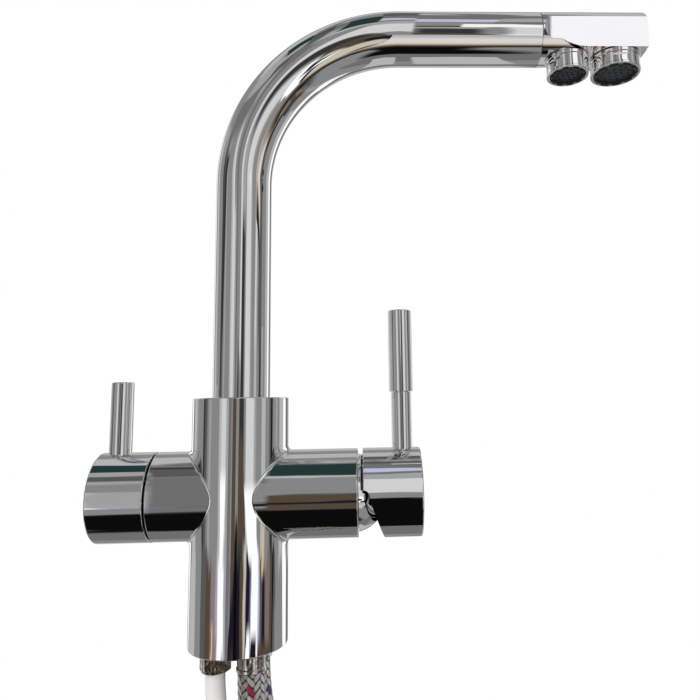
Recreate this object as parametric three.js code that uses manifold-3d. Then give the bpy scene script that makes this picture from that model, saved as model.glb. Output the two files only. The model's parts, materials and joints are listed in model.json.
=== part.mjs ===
// A chrome three way kitchen tap: hot and cold water through a tilting side lever,
// filtered water through a quarter turn side lever, and one swivel spout with two outlets.
//
// Millimetres, +Z up. The origin is the centre of the face that stands on the worktop.
// The mixer arm and the spout point along +X, the filtered water arm along -X, and the
// user stands at -Y. Each arm has a group of its own, in which Z runs out along the arm.

import * as THREE from 'three';
import { mergeVertices } from 'three/addons/utils/BufferGeometryUtils.js';
import Module from 'manifold-3d';

// ---- Driving dimensions ----

// Fits
const seatGap = 0.3;              // between pieces that sit on or in each other
const slideGap = 0.4;             // between pieces that move past each other
const edgeEase = 0.5;             // small chamfer on polished outer edges

// Body casting
const bodyRadius = 24;
const bodyHeight = 118.8;
const armHeight = 70.5;           // axis of both side arms above the worktop
const armRadius = 21.9;
const handleRadius = 22;
const baseRecessRadius = 19.5;    // hollow in the underside, where the pipes screw in
const baseRecessDepth = 9;
const fixingStudRadius = 3.4;     // tapped hole for the stud that clamps the tap down
const fixingStudDepth = 16;
const fixingStudX = -9.5;
const fixingStudY = 9.5;
const waterwayRadius = 3;

// Spout
const spoutRadius = 14.5;
const spoutWall = 1.2;
const spoutAxisHeight = 317.4;
const spoutBendRadius = 85;
const spoutReach = 221.9;         // body axis to the end of the outlet head
const headLength = 58.5;
const spoutInsertion = 10.5;      // how far the tube goes down into the body
const socketDepth = 34;
const glideRingThickness = 1.5;
const spoutBaseBore = 9.5;
const spigotLength = 8;
const oRingSection = 2.4;
const lowerRingHeight = 4;        // O-ring centres above the underside of the spout base
const upperRingHeight = 10;
const retainingGrooveHeight = 16.5;
const retainingGrooveDepth = 2;
const spoutScrewRadius = 2.2;
const spoutScrewSunk = 1.5;       // below the skin of the body
const spoutScrewKey = 2.4;        // across the flats of its hexagon socket
const screwKeyDepth = 2;

// Outlet head: round on top, slab sided and flat underneath
const headHalfWidth = 13;
const headFloorDrop = 11.1;       // flat underside below the spout axis
const headShoulderRise = 6.6;     // top of the flat sides above the spout axis
const scoopStart = 3;             // from the seam
const scoopLength = 22;           // the quarter ellipse where the flat sides run out
const sideRunOut = 6.5;
const headRimWidth = 0.8;         // of the full round bar, left beside the seam
const headFloorStart = 3.6;       // from the seam to the flat underside
const headSpigotLength = 8;
const mainDuctRadius = 3.8;
const mainDuctRise = 7.6;         // mixed water duct above the spout axis

// Inner pipe that keeps the filtered water apart
const filteredPipeRadius = 5;
const filteredPipeWall = 1.1;
const filteredPipeDrop = 3.4;     // its level run below the spout axis
const filteredPipeInsertion = 5;
const nippleLength = 22;
const nippleWall = 1.2;
const nippleFootLength = 6;
const nippleSealDrop = 5;         // middle of its seal below the top
const nippleGrooveWidth = 2;

// Aerators
const aeratorSpacing = 27.3;
const mainAeratorFromEnd = 14.6;
const mainAeratorRadius = 13.8;
const mainAeratorDrop = 9.5;
const filterAeratorRadius = 11.75;
const filterAeratorDrop = 10.5;
const aeratorWall = 1.9;
const aeratorFlange = 2.2;
const aeratorLedge = 3;
const aeratorThreadLength = 5;
const aeratorThreadStep = 2.7;    // thread radius is this much less than the housing
const aeratorThreadWall = 1.6;
const aeratorWasherThickness = 1.2;
const aeratorFlatDepth = 1.1;
const aeratorFlatWidth = 11;
const aeratorFlatMargin = 1.5;    // of round skirt above and below a spanner flat
const insertWall = 1.4;
const insertStandOut = 0.2;
const insertPlateSunk = 1.4;
const insertNotchWidth = 2;
const insertNotchDepth = 1.1;
const mainFlatsTurn = -98;        // degrees, direction that one spanner flat faces
const filterFlatsTurn = -142;
const jetHoleRadius = 1.5;

// Mixer side, distances along the arm from the body axis
const mixerArmEnd = 59.6;
const mixerHandleStart = 62;
const mixerHandleEnd = 91.2;
const mixerPivot = 55;            // the lever tilts about this point on the arm's axis
const mixerLiftLimit = 25;        // degrees
const mixerHandleWall = 1.7;
const mixerEndWall = 4.2;
const mixerBossRadius = 9;
const mixerBossStart = 75;
const mixerLeverAt = 82.3;
const mixerRodRadius = 5.15;
const mixerGripRadius = 6.15;
const mixerGripStart = 50.4;      // heights above the arm's axis
const mixerGripEnd = 92.8;
const mixerGripCap = 3;
const mixerGripWall = 1.6;
const mixerScrewAt = 80;
const skirtCutStart = 3.4;        // lower skirt is cut back below this height
const skirtCutCorner = 3.6;
const skirtCutCornerDrop = 5.8;
const skirtCutSlope = 20;         // degrees
const domeRadius = 19.8;
const domeWall = 1.5;
const domeMouth = 12.8;
const domeSkirtLength = 4.6;

// Mixer cartridge
const chamberFloor = 26;
const cartridgeRadius = 17.5;
const cartridgeSealThickness = 1.5;
const cartridgeSealMargin = 2;
const cartridgeBaseThickness = 3.6;
const cartridgeWall = 2.6;
const fixedDiscThickness = 3.4;
const movingDiscRadius = 10.5;
const movingDiscThickness = 4;
const discRecessDepth = 2.6;      // in its back, where the tip of the lever's stem drives it
const discPocketDepth = 1;        // in its face, joining the inlets to the outlet
const discPocketRadius = 5.5;
const cartridgePortRadius = 3;
const cartridgeInletSpread = 8;   // inlets either side of the arm's axis
const cartridgeInletDrop = 5;
const cartridgeOutletRise = 8;
const turretFlangeRadius = 14.4;
const turretFlangeThickness = 3;
const turretRadius = 10;
const turretTopAbovePivot = 3.6;
const neckWall = 2.2;
const housingRoof = 3.6;
const housingChamberTop = 46;
const retainingNutLength = 4.4;
const nutSlotWidth = 4;
const nutSlotDepth = 1;
const stemWidth = 7.4;
const stemTipRadius = 2.5;
const stemTipReach = 17.6;        // tip below the pivot
const stemInBoss = 9;
const pivotPinRadius = 1.5;

// Filtered water side, distances along its arm from the body axis
const filterArmEnd = 40.9;
const filterHandleStart = 41.8;
const filterHandleEnd = 68.8;
const filterHandleWall = 2;
const filterEndWall = 5;
const filterBossRadius = 8;
const filterBossStart = 47;
const filterLeverAt = 60.3;
const filterLeverRadius = 5.5;
const filterLeverEnd = 57.3;      // height above the arm's axis
const filterScrewAt = 52.5;
const handleScrewRadius = 2;
const handleScrewKey = 2;
const screwAccessRadius = 2.7;
const valveSeat = 20;
const valveRadius = 10.1;
const valveHeadStart = 35.3;
const valveHeadLength = 5.2;
const valveHeadAcrossFlats = 24;
const valveNeckRadius = 7.5;
const valveNeckEnd = 45;
const valveChamberRadius = 8;
const valveChamberEnd = 33;
const valveSealThickness = 1.5;
const valveSealWidth = 4;
const valveWindowWidth = 6;
const valveWindowHeight = 3;
const valveDiscThickness = 3;
const valvePortRadius = 2;
const spindleRadius = 4.2;
const spindleEnd = 58;
const spindleFlangeThickness = 2.4;
const splineDepth = 0.6;
const splineCount = 12;
const splineLength = 8;
const filterRingInner = 15.2;
const filterRingOuter = 20.3;
const filterRingThickness = 2;
const filterRingStandOut = 0.6;

// Pipes under the worktop
const supplyX = 8;
const supplyY = 8.2;              // hot at -Y, cold at +Y
const filterSupplyX = -9.75;
const filterSupplyY = -5;
const tailThreadRadius = 4.7;
const tailThreadLength = 10.7;
const tailBoreRadius = 2.4;
const tailHexAcrossFlats = 12;
const tailHexHeight = 5.4;
const barbRadius = 3.6;
const ferruleRadius = 7.2;
const ferruleLength = 12.5;
const hoseRadius = 6.5;
const endFerruleLength = 16;
const unionNutAcrossFlats = 24;
const unionNutHeight = 15;
const unionNutMouthRadius = 10.2;
const unionNutFloor = 3;
const nippleFlangeRadius = 8.6;
const nippleFlangeThickness = 2;
const unionWasherThickness = 2;
const compressionHexAcrossFlats = 13;
const compressionNutLength = 13.8;
const compressionNutWall = 3;
const filterFittingHexHeight = 5;
const filterTubeRadius = 4.76;
const connectorRadius = 9;
const connectorLength = 36;
const connectorSocketDepth = 15;
const connectorNose = 0.8;
const connectorLip = 1.2;
const colletFlange = 1.6;
const colletRadius = 7;

// Facets round a turned piece
const fineRound = 24;
const mediumRound = 16;
const smallRound = 10;
const hoseRound = 10;
const hoseStep = 2.5;             // diameters from one ring of a hose to the next

// Free runs of the pipes, from the fitting under the tap to the fitting on the end
const hotRoute = [
  [8, -8.2, -9.8], [8.05, -8.2, -15], [8.5, -8.4, -25], [9.8, -9, -44], [12.7, -10.9, -75],
  [17, -14, -115], [20.3, -16.6, -155], [22, -18, -195], [22.3, -18.2, -230], [22.3, -18.2, -262],
];
const coldRoute = [
  [8, 8.2, -9.8], [8.1, 8.2, -15], [8.9, 8.4, -25], [11.6, 9.1, -44], [17.5, 11.2, -77],
  [23.5, 13.9, -117], [27.5, 16.2, -157], [29.1, 17.4, -197], [29.3, 17.5, -232], [29.3, 17.5, -262],
];
const filterRoute = [
  [-9.75, -5, -10.8], [-9.7, -5, -15], [-9.1, -5, -24], [-8, -5.1, -41], [-7.2, -5.5, -62],
  [-7.8, -6.1, -90], [-10, -6.9, -125], [-12.6, -7.6, -165], [-14.1, -8, -205],
  [-14.3, -8.1, -245], [-14.3, -8.1, -275],
];

// ---- Sizes that follow from them ----

const spoutBore = spoutRadius - spoutWall;
const socketRadius = spoutRadius + seatGap;
const socketFloor = bodyHeight - socketDepth;
const spoutTubeFoot = bodyHeight - spoutInsertion;
const spoutBaseFoot = socketFloor + 2 * seatGap + glideRingThickness;
const seamX = spoutReach - headLength;
const pipeBore = filteredPipeRadius - filteredPipeWall;
const nippleRadius = pipeBore - slideGap;
const filteredOutletHeight = socketFloor - nippleFootLength - waterwayRadius;
const mainAeratorX = headLength - mainAeratorFromEnd;
const filterAeratorX = mainAeratorX - aeratorSpacing;
const chamberRadius = cartridgeRadius + slideGap;
const cartridgeFoot = chamberFloor + cartridgeSealThickness + 2 * seatGap;
const fixedDiscFoot = cartridgeFoot + cartridgeBaseThickness + seatGap;
const movingDiscFoot = fixedDiscFoot + fixedDiscThickness + seatGap;
const turretFoot = movingDiscFoot + movingDiscThickness + seatGap;
const housingTop = housingChamberTop + housingRoof;
const neckBore = turretRadius + slideGap;
const neckRadius = neckBore + neckWall;
const turretTop = mixerPivot + turretTopAbovePivot;
const nutFoot = housingTop + seatGap;
const liftSwing = THREE.MathUtils.degToRad(mixerLiftLimit);
const discTravel = stemTipReach * Math.sin(liftSwing);
const mixerBore = handleRadius - mixerHandleWall;
const filterBore = handleRadius - filterHandleWall;
const filterPortHeight = armHeight - 4;
const handedSides = { hot: -1, cold: 1 };

// ---- Finishes ----

function finish(colour, roughness, metalness) {
  return { color: colour, roughness, metalness };
}

const chrome = finish(0xd7d9dc, 0.06, 1);
const brass = finish(0xb99a5b, 0.35, 1);
const darkNickel = finish(0x6e675a, 0.3, 1);
const steel = finish(0xb9bbbd, 0.3, 1);
const ceramic = finish(0xe9e6df, 0.25, 0);
const blackRubber = finish(0x161616, 0.8, 0);
const blackPlastic = finish(0x202224, 0.5, 0);
const greyPlastic = finish(0x8f9396, 0.5, 0);
const whitePlastic = finish(0xe6e2da, 0.45, 0);
const braid = finish(0x9a9c98, 0.4, 0.9);

// ---- Shape helpers ----

const wasm = await Module();
wasm.setup();

// A closed geometry as a solid, turned right side out if its faces point inwards.
function solidOf(geometry) {
  const bare = geometry.clone();
  bare.deleteAttribute('normal');
  bare.deleteAttribute('uv');
  const merged = mergeVertices(bare, 1e-5);
  const positions = merged.getAttribute('position');
  const corners = [];
  for (let i = 0; i < merged.index.count; i += 3) {
    const [a, b, c] = [0, 1, 2].map((k) => merged.index.getX(i + k));
    if (a !== b && b !== c && c !== a) corners.push(a, b, c);
  }
  if (signedVolume(positions, corners) < 0) corners.reverse();
  return new wasm.Manifold(new wasm.Mesh({
    numProp: 3,
    vertProperties: new Float32Array(positions.array),
    triVerts: new Uint32Array(corners),
  }));
}

function signedVolume(positions, corners) {
  const [a, b, c] = [new THREE.Vector3(), new THREE.Vector3(), new THREE.Vector3()];
  let total = 0;
  for (let i = 0; i < corners.length; i += 3) {
    a.fromBufferAttribute(positions, corners[i]);
    b.fromBufferAttribute(positions, corners[i + 1]);
    c.fromBufferAttribute(positions, corners[i + 2]);
    total += a.dot(b.cross(c));
  }
  return total / 6;
}

function geometryOf(solid) {
  const mesh = solid.getMesh();
  const geometry = new THREE.BufferGeometry();
  geometry.setAttribute('position', new THREE.BufferAttribute(new Float32Array(mesh.vertProperties), 3));
  geometry.setIndex(new THREE.BufferAttribute(new Uint32Array(mesh.triVerts), 1));
  geometry.computeVertexNormals();
  return geometry;
}

function join(first, ...others) {
  return geometryOf(others.reduce((whole, next) => whole.add(solidOf(next)), solidOf(first)));
}

function cut(first, ...tools) {
  return geometryOf(tools.reduce((whole, tool) => whole.subtract(solidOf(tool)), solidOf(first)));
}

function common(first, second) {
  return geometryOf(solidOf(first).intersect(solidOf(second)));
}

// Corners are [radius, height] or [radius, height, ease]; an eased corner gets a chamfer.
function easedOutline(corners) {
  const points = corners.map(([x, y]) => new THREE.Vector2(x, y));
  const outline = [];
  corners.forEach(([, , ease], i) => {
    const here = points[i];
    if (!ease) {
      outline.push(here);
      return;
    }
    const before = points[(i + points.length - 1) % points.length];
    const after = points[(i + 1) % points.length];
    outline.push(here.clone().add(before.clone().sub(here).setLength(ease)));
    outline.push(here.clone().add(after.clone().sub(here).setLength(ease)));
  });
  return outline;
}

// A turned solid about Z whose outline starts and ends on the axis.
function turned(corners, facets = fineRound) {
  return new THREE.LatheGeometry(easedOutline(corners), facets).rotateX(Math.PI / 2);
}

// A turned ring about Z whose outline closes on itself.
function turnedRing(corners, facets = fineRound) {
  const outline = easedOutline(corners);
  outline.push(outline[0].clone());
  return new THREE.LatheGeometry(outline, facets).rotateX(Math.PI / 2);
}

function rod(radius, from, to, facets = smallRound, ease = 0) {
  return turned([[0, from], [radius, from, ease], [radius, to, ease], [0, to]], facets);
}

function ring(inner, outer, from, to, facets = mediumRound, ease = 0) {
  return turnedRing([[inner, from], [outer, from, ease], [outer, to, ease], [inner, to]], facets);
}

function oRing(middle, section, height) {
  const torus = new THREE.TorusGeometry(middle, section / 2, 5, mediumRound);
  return torus.translate(0, 0, height);
}

function block(sizeX, sizeY, sizeZ, x, y, z) {
  return new THREE.BoxGeometry(sizeX, sizeY, sizeZ).translate(x, y, z);
}

function polygon(points) {
  return new THREE.Shape(points.map(([x, y]) => new THREE.Vector2(x, y)));
}

function hexagon(acrossFlats) {
  const corner = acrossFlats / Math.sqrt(3);
  const turns = [0, 1, 2, 3, 4, 5].map((k) => (k * Math.PI) / 3);
  return polygon(turns.map((turn) => [corner * Math.cos(turn), corner * Math.sin(turn)]));
}

function prism(shape, from, to) {
  const options = { depth: to - from, bevelEnabled: false, curveSegments: 12 };
  return new THREE.ExtrudeGeometry(shape, options).translate(0, 0, from);
}

// A hexagonal nut blank with its corners turned off at both ends.
function hexBlank(acrossFlats, from, to) {
  const cornerRadius = acrossFlats / Math.sqrt(3);
  const chamfer = cornerRadius - acrossFlats / 2;
  const turnedBlank = rod(cornerRadius, from, to, 12, chamfer);
  return common(prism(hexagon(acrossFlats), from, to), turnedBlank);
}

// An outline in the XZ plane, given thickness equally to both sides in Y.
function sideSlab(shape, thickness) {
  const slab = prism(shape, -thickness / 2, thickness / 2);
  const toSide = new THREE.Matrix4().makeBasis(
    new THREE.Vector3(1, 0, 0),
    new THREE.Vector3(0, 0, 1),
    new THREE.Vector3(0, -1, 0),
  );
  return slab.applyMatrix4(toSide);
}

function alongX(geometry) {
  return geometry.rotateY(Math.PI / 2);
}

function alongMinusX(geometry) {
  return geometry.rotateY(-Math.PI / 2);
}

function alongY(geometry) {
  return geometry.rotateX(-Math.PI / 2);
}

function toMixerArm(geometry) {
  return alongX(geometry).translate(0, 0, armHeight);
}

function toFilterArm(geometry) {
  return alongMinusX(geometry).translate(0, 0, armHeight);
}

// The spout's line: up, round a quarter bend and level along +X. The straight parts
// take one step each and the bend takes the rest.
class SpoutLine extends THREE.Curve {
  constructor(foot, bendRadius, levelHeight, levelEnd, bendSteps) {
    super();
    this.foot = foot;
    this.bendRadius = bendRadius;
    this.bendStart = levelHeight - bendRadius;
    this.levelEnd = levelEnd;
    this.steps = bendSteps + 2;
  }

  bendTurn(t) {
    const share = (t * this.steps - 1) / (this.steps - 2);
    return (THREE.MathUtils.clamp(share, 0, 1) * Math.PI) / 2;
  }

  getPoint(t, target = new THREE.Vector3()) {
    const firstShare = Math.min(t * this.steps, 1);
    const lastShare = Math.max(t * this.steps - (this.steps - 1), 0);
    const turn = this.bendTurn(t);
    const level = this.levelEnd - this.bendRadius;
    const x = this.bendRadius * (1 - Math.cos(turn)) + lastShare * level;
    const rise = this.bendStart - this.foot;
    const z = this.foot + firstShare * rise + this.bendRadius * Math.sin(turn);
    return target.set(x, 0, z);
  }

  getTangent(t, target = new THREE.Vector3()) {
    const turn = this.bendTurn(t);
    return target.set(Math.sin(turn), 0, Math.cos(turn));
  }

  getPointAt(u, target) {
    return this.getPoint(u, target);
  }

  getTangentAt(u, target) {
    return this.getTangent(u, target);
  }
}

function circle(radius) {
  return new THREE.Shape().absarc(0, 0, radius, 0, Math.PI * 2);
}

function pipeAlong(line, outer, inner, facets) {
  const section = circle(outer);
  section.holes.push(new THREE.Path().absarc(0, 0, inner, 0, Math.PI * 2));
  const options = { steps: line.steps, extrudePath: line, curveSegments: facets };
  return new THREE.ExtrudeGeometry(section, { ...options, bevelEnabled: false });
}

// ---- The tree of groups ----

const tap = new THREE.Group();
tap.name = 'three_way_tap';

function groupAt(parent, x, y, z, turnY = 0) {
  const group = new THREE.Group();
  group.position.set(x, y, z);
  group.rotation.y = turnY;
  parent.add(group);
  return group;
}

const mixerSide = groupAt(tap, 0, 0, armHeight, Math.PI / 2);
const filterSide = groupAt(tap, 0, 0, armHeight, -Math.PI / 2);
const socket = groupAt(tap, 0, 0, socketFloor);
const spout = groupAt(tap, 0, 0, 0);
const spoutFoot = groupAt(spout, 0, 0, spoutBaseFoot);
const head = groupAt(spout, seamX, 0, spoutAxisHeight);

function piece(parent, name, geometry, look) {
  const closed = geometryOf(solidOf(geometry));
  const mesh = new THREE.Mesh(closed, new THREE.MeshStandardMaterial(look));
  mesh.name = name;
  parent.add(mesh);
  return mesh;
}

// ---- Body casting ----

function waterways() {
  const portTop = baseRecessDepth + tailThreadLength + 1;
  const inletHeight = armHeight - cartridgeInletDrop;
  const outletHeight = armHeight + cartridgeOutletRise;
  const outletX = (spoutBaseBore + nippleRadius) / 2 + 1;
  const ways = [];
  for (const side of Object.values(handedSides)) {
    const y = side * supplyY;
    ways.push(rod(tailThreadRadius + seatGap, 0, portTop).translate(supplyX, y, 0));
    ways.push(rod(waterwayRadius, 0, inletHeight + waterwayRadius).translate(supplyX, y, 0));
    ways.push(alongX(rod(waterwayRadius, supplyX, chamberFloor + 1)).translate(0, y, inletHeight));
  }
  ways.push(alongX(rod(waterwayRadius, outletX, chamberFloor + 1)).translate(0, 0, outletHeight));
  ways.push(rod(waterwayRadius, outletHeight, socketFloor + 1).translate(outletX, 0, 0));
  const filterInlet = rod(waterwayRadius, 0, filterPortHeight + waterwayRadius);
  ways.push(filterInlet.translate(filterSupplyX, filterSupplyY, 0));
  ways.push(rod(tailThreadRadius + seatGap, 0, portTop).translate(filterSupplyX, filterSupplyY, 0));
  const toValve = alongMinusX(rod(waterwayRadius, -filterSupplyX, valveSeat + 1));
  ways.push(toValve.translate(0, filterSupplyY, filterPortHeight));
  const fromValve = alongMinusX(rod(waterwayRadius, 0, valveSeat + 1));
  ways.push(fromValve.translate(0, 0, filteredOutletHeight));
  ways.push(rod(nippleRadius + seatGap, filteredOutletHeight - 1, socketFloor + 1));
  return ways;
}

function bodyCasting() {
  const column = rod(bodyRadius, 0, bodyHeight, fineRound, edgeEase);
  const mixerArm = toMixerArm(turned(
    [[0, 0], [armRadius, 0], [armRadius, mixerArmEnd, edgeEase], [0, mixerArmEnd]],
  ));
  const filterArm = toFilterArm(turned(
    [[0, 0], [armRadius, 0], [armRadius, filterArmEnd, edgeEase], [0, filterArmEnd]],
  ));
  const casting = join(column, mixerArm, filterArm);
  const spoutSocket = rod(socketRadius, socketFloor, bodyHeight + 1, fineRound);
  const underside = rod(baseRecessRadius, -1, baseRecessDepth, fineRound);
  const chamber = toMixerArm(rod(chamberRadius, chamberFloor, mixerArmEnd + 1, fineRound));
  const headRecess = valveHeadAcrossFlats / Math.sqrt(3) + slideGap;
  const headFloor = valveHeadStart - seatGap;
  const ringFloor = filterArmEnd + filterRingStandOut - filterRingThickness - seatGap;
  const valveBore = toFilterArm(turned([
    [0, valveSeat], [valveRadius + seatGap, valveSeat], [valveRadius + seatGap, headFloor],
    [headRecess, headFloor], [headRecess, ringFloor], [filterRingOuter + seatGap, ringFloor],
    [filterRingOuter + seatGap, filterArmEnd + 1], [0, filterArmEnd + 1],
  ]));
  const screwHeight = spoutBaseFoot + retainingGrooveHeight;
  const screwHole = alongY(rod(spoutScrewRadius + seatGap, 0, bodyRadius + 1));
  const studTop = baseRecessDepth + fixingStudDepth;
  const studHole = rod(fixingStudRadius, 0, studTop).translate(fixingStudX, fixingStudY, 0);
  screwHole.translate(0, 0, screwHeight);
  const bores = [spoutSocket, underside, chamber, valveBore, screwHole, studHole];
  return cut(casting, ...bores, ...waterways());
}

piece(tap, 'tap_body', bodyCasting(), chrome);

// ---- Spout ----

function buildSpoutTube() {
  const line = new SpoutLine(spoutTubeFoot, spoutBendRadius, spoutAxisHeight, seamX - seatGap, 10);
  piece(spout, 'spout_tube', pipeAlong(line, spoutRadius, spoutBore, fineRound / 2), chrome);
}

function buildFilteredPipe() {
  const levelHeight = spoutAxisHeight - filteredPipeDrop;
  const bend = spoutBendRadius - filteredPipeDrop;
  const foot = socketFloor + nippleFootLength;
  const end = seamX - headSpigotLength + filteredPipeInsertion;
  const line = new SpoutLine(foot, bend, levelHeight, end, 8);
  const pipe = pipeAlong(line, filteredPipeRadius, pipeBore, smallRound / 2);
  piece(spout, 'filtered_water_pipe', pipe, whitePlastic);
}

function buildSpoutBase() {
  const collarTop = spoutTubeFoot - seatGap - spoutBaseFoot;
  const spigotRadius = spoutBore - seatGap;
  const outer = spoutRadius;
  const grooveFloor = outer - oRingSection;
  const half = oRingSection / 2 + seatGap;
  const retainHalf = spoutScrewRadius + slideGap;
  const retainFloor = outer - retainingGrooveDepth;
  const outline = [[spoutBaseBore, 0], [outer, 0, edgeEase]];
  for (const middle of [lowerRingHeight, upperRingHeight]) {
    outline.push([outer, middle - half], [grooveFloor, middle - half]);
    outline.push([grooveFloor, middle + half], [outer, middle + half]);
  }
  const retainFoot = retainingGrooveHeight - retainHalf;
  const retainTop = retainingGrooveHeight + retainHalf;
  outline.push([outer, retainFoot], [retainFloor, retainFoot]);
  outline.push([retainFloor, retainTop], [outer, retainTop]);
  const spigotTop = collarTop + spigotLength;
  outline.push([outer, collarTop], [spigotRadius, collarTop]);
  outline.push([spigotRadius, spigotTop, edgeEase], [spoutBaseBore, spigotTop]);
  piece(spoutFoot, 'spout_base', turnedRing(outline, mediumRound), brass);
  const ringMiddle = outer - oRingSection / 2 + seatGap / 2;
  const section = oRingSection - seatGap;
  piece(spoutFoot, 'spout_o_ring_lower', oRing(ringMiddle, section, lowerRingHeight), blackRubber);
  piece(spoutFoot, 'spout_o_ring_upper', oRing(ringMiddle, section, upperRingHeight), blackRubber);
}

function buildSocketFittings() {
  const ringFoot = seatGap;
  const glide = ring(spoutBaseBore, spoutRadius, ringFoot, ringFoot + glideRingThickness);
  piece(socket, 'spout_glide_ring', glide, whitePlastic);
  const nippleBore = nippleRadius - nippleWall;
  const grooveMiddle = nippleLength - nippleSealDrop;
  const grooveHalf = nippleGrooveWidth / 2;
  const nippleGroove = nippleWall / 2;
  const nipple = turnedRing([
    [nippleBore, -nippleFootLength], [nippleRadius, -nippleFootLength],
    [nippleRadius, grooveMiddle - grooveHalf], [nippleRadius - nippleGroove, grooveMiddle - grooveHalf],
    [nippleRadius - nippleGroove, grooveMiddle + grooveHalf], [nippleRadius, grooveMiddle + grooveHalf],
    [nippleRadius, nippleLength, edgeEase / 2], [nippleBore, nippleLength],
  ], smallRound);
  piece(socket, 'filtered_water_nipple', nipple, brass);
  const sealInner = nippleRadius - nippleGroove + seatGap / 2;
  const sealOuter = pipeBore - seatGap;
  const sealHalf = grooveHalf - seatGap;
  const seal = ring(sealInner, sealOuter, grooveMiddle - sealHalf, grooveMiddle + sealHalf, smallRound);
  piece(socket, 'filtered_water_seal', seal, blackRubber);
  const screwTip = spoutRadius - retainingGrooveDepth + slideGap;
  const screwEnd = bodyRadius - spoutScrewSunk;
  const key = prism(hexagon(spoutScrewKey), screwEnd - screwKeyDepth, screwEnd + 1);
  const screw = cut(rod(spoutScrewRadius, screwTip, screwEnd, smallRound, edgeEase), key);
  const seat = groupAt(tap, 0, 0, spoutBaseFoot + retainingGrooveHeight);
  piece(seat, 'spout_retaining_screw', alongY(screw), steel);
}

// The outlet head: a round bar whose sides are flattened below a shoulder and run out
// in a scoop, with two tapped outlets underneath and a duct to each.
function headBlank() {
  const round = alongX(rod(spoutRadius, 0, headLength, fineRound, edgeEase));
  const slab = new THREE.Shape();
  const scoopEnd = scoopStart + scoopLength;
  slab.moveTo(headLength - edgeEase, headShoulderRise);
  slab.lineTo(scoopEnd, headShoulderRise);
  const scoopDepth = headShoulderRise + headFloorDrop;
  slab.absellipse(scoopEnd, headShoulderRise, scoopLength, scoopDepth, Math.PI, 1.5 * Math.PI, false);
  slab.lineTo(headLength - edgeEase, -headFloorDrop);
  slab.lineTo(headLength, -headFloorDrop + edgeEase);
  slab.lineTo(headLength, headShoulderRise);
  const sides = sideSlab(slab, 2 * headHalfWidth);
  const floorHeight = spoutRadius;
  const floor = block(headLength, 3 * spoutRadius, floorHeight, 0, 0, -headFloorDrop - floorHeight / 2);
  floor.translate(headFloorStart + headLength / 2, 0, 0);
  return cut(join(round, sides), floor, sideCutter(1), sideCutter(-1));
}

// Takes the round bar down to the flat side, easing in from the seam.
function sideCutter(side) {
  const outline = new THREE.Shape();
  const far = 2 * spoutRadius;
  outline.moveTo(headRimWidth, far);
  outline.lineTo(headRimWidth, spoutRadius);
  outline.quadraticCurveTo(sideRunOut / 2, headHalfWidth, sideRunOut, headHalfWidth);
  outline.lineTo(headLength + 1, headHalfWidth);
  outline.lineTo(headLength + 1, far);
  const cutter = prism(outline, -far, far);
  return side > 0 ? cutter : cutter.rotateX(Math.PI);
}

function buildOutletHead() {
  const spigot = alongX(rod(spoutBore - seatGap, -headSpigotLength, 1, mediumRound));
  const socketTop = -headFloorDrop + aeratorThreadLength + aeratorWasherThickness + 2 * seatGap;
  const mainSocket = mainAeratorRadius - aeratorThreadStep + seatGap;
  const filterSocket = filterAeratorRadius - aeratorThreadStep + seatGap;
  const mainDuct = alongX(rod(mainDuctRadius, -headSpigotLength - 1, mainAeratorX + mainDuctRadius));
  const pipeSocketEnd = filteredPipeInsertion + seatGap - headSpigotLength;
  const pipeSocket = alongX(rod(filteredPipeRadius + seatGap, -headSpigotLength - 1, pipeSocketEnd));
  const filterDuct = alongX(rod(waterwayRadius, -headSpigotLength - 1, filterAeratorX));
  const blank = join(headBlank(), spigot);
  piece(head, 'outlet_head', cut(
    blank,
    rod(mainSocket, -headFloorDrop - 1, socketTop, mediumRound).translate(mainAeratorX, 0, 0),
    rod(filterSocket, -headFloorDrop - 1, socketTop, mediumRound).translate(filterAeratorX, 0, 0),
    mainDuct.translate(0, 0, mainDuctRise),
    rod(mainDuctRadius, socketTop - 1, mainDuctRise).translate(mainAeratorX, 0, 0),
    pipeSocket.translate(0, 0, -filteredPipeDrop),
    filterDuct.translate(0, 0, -filteredPipeDrop),
    rod(waterwayRadius, socketTop - 1, -filteredPipeDrop).translate(filterAeratorX, 0, 0),
  ), chrome);
}

function aeratorHousing(radius, drop, flatsTurn) {
  const thread = radius - aeratorThreadStep;
  const throat = thread - aeratorThreadWall;
  const mouth = radius - aeratorWall;
  const skirt = radius - edgeEase;
  const shell = turnedRing([
    [throat, aeratorThreadLength], [thread, aeratorThreadLength, edgeEase], [thread, -seatGap],
    [radius, -seatGap, edgeEase / 2], [radius, -aeratorFlange], [skirt, -aeratorFlange - edgeEase],
    [skirt, -drop + edgeEase], [skirt - edgeEase, -drop], [mouth, -drop],
    [mouth, -aeratorLedge], [throat, -aeratorLedge],
  ], mediumRound);
  const flatTop = -aeratorFlange - aeratorFlatMargin;
  const flatFoot = -drop + aeratorFlatMargin;
  const flats = [0, Math.PI].map((turn) => {
    const flat = block(radius, aeratorFlatWidth, flatTop - flatFoot, 0, 0, (flatTop + flatFoot) / 2);
    flat.translate(skirt - aeratorFlatDepth + radius / 2, 0, 0);
    return flat.rotateZ(turn + THREE.MathUtils.degToRad(flatsTurn));
  });
  return cut(shell, ...flats);
}

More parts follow.
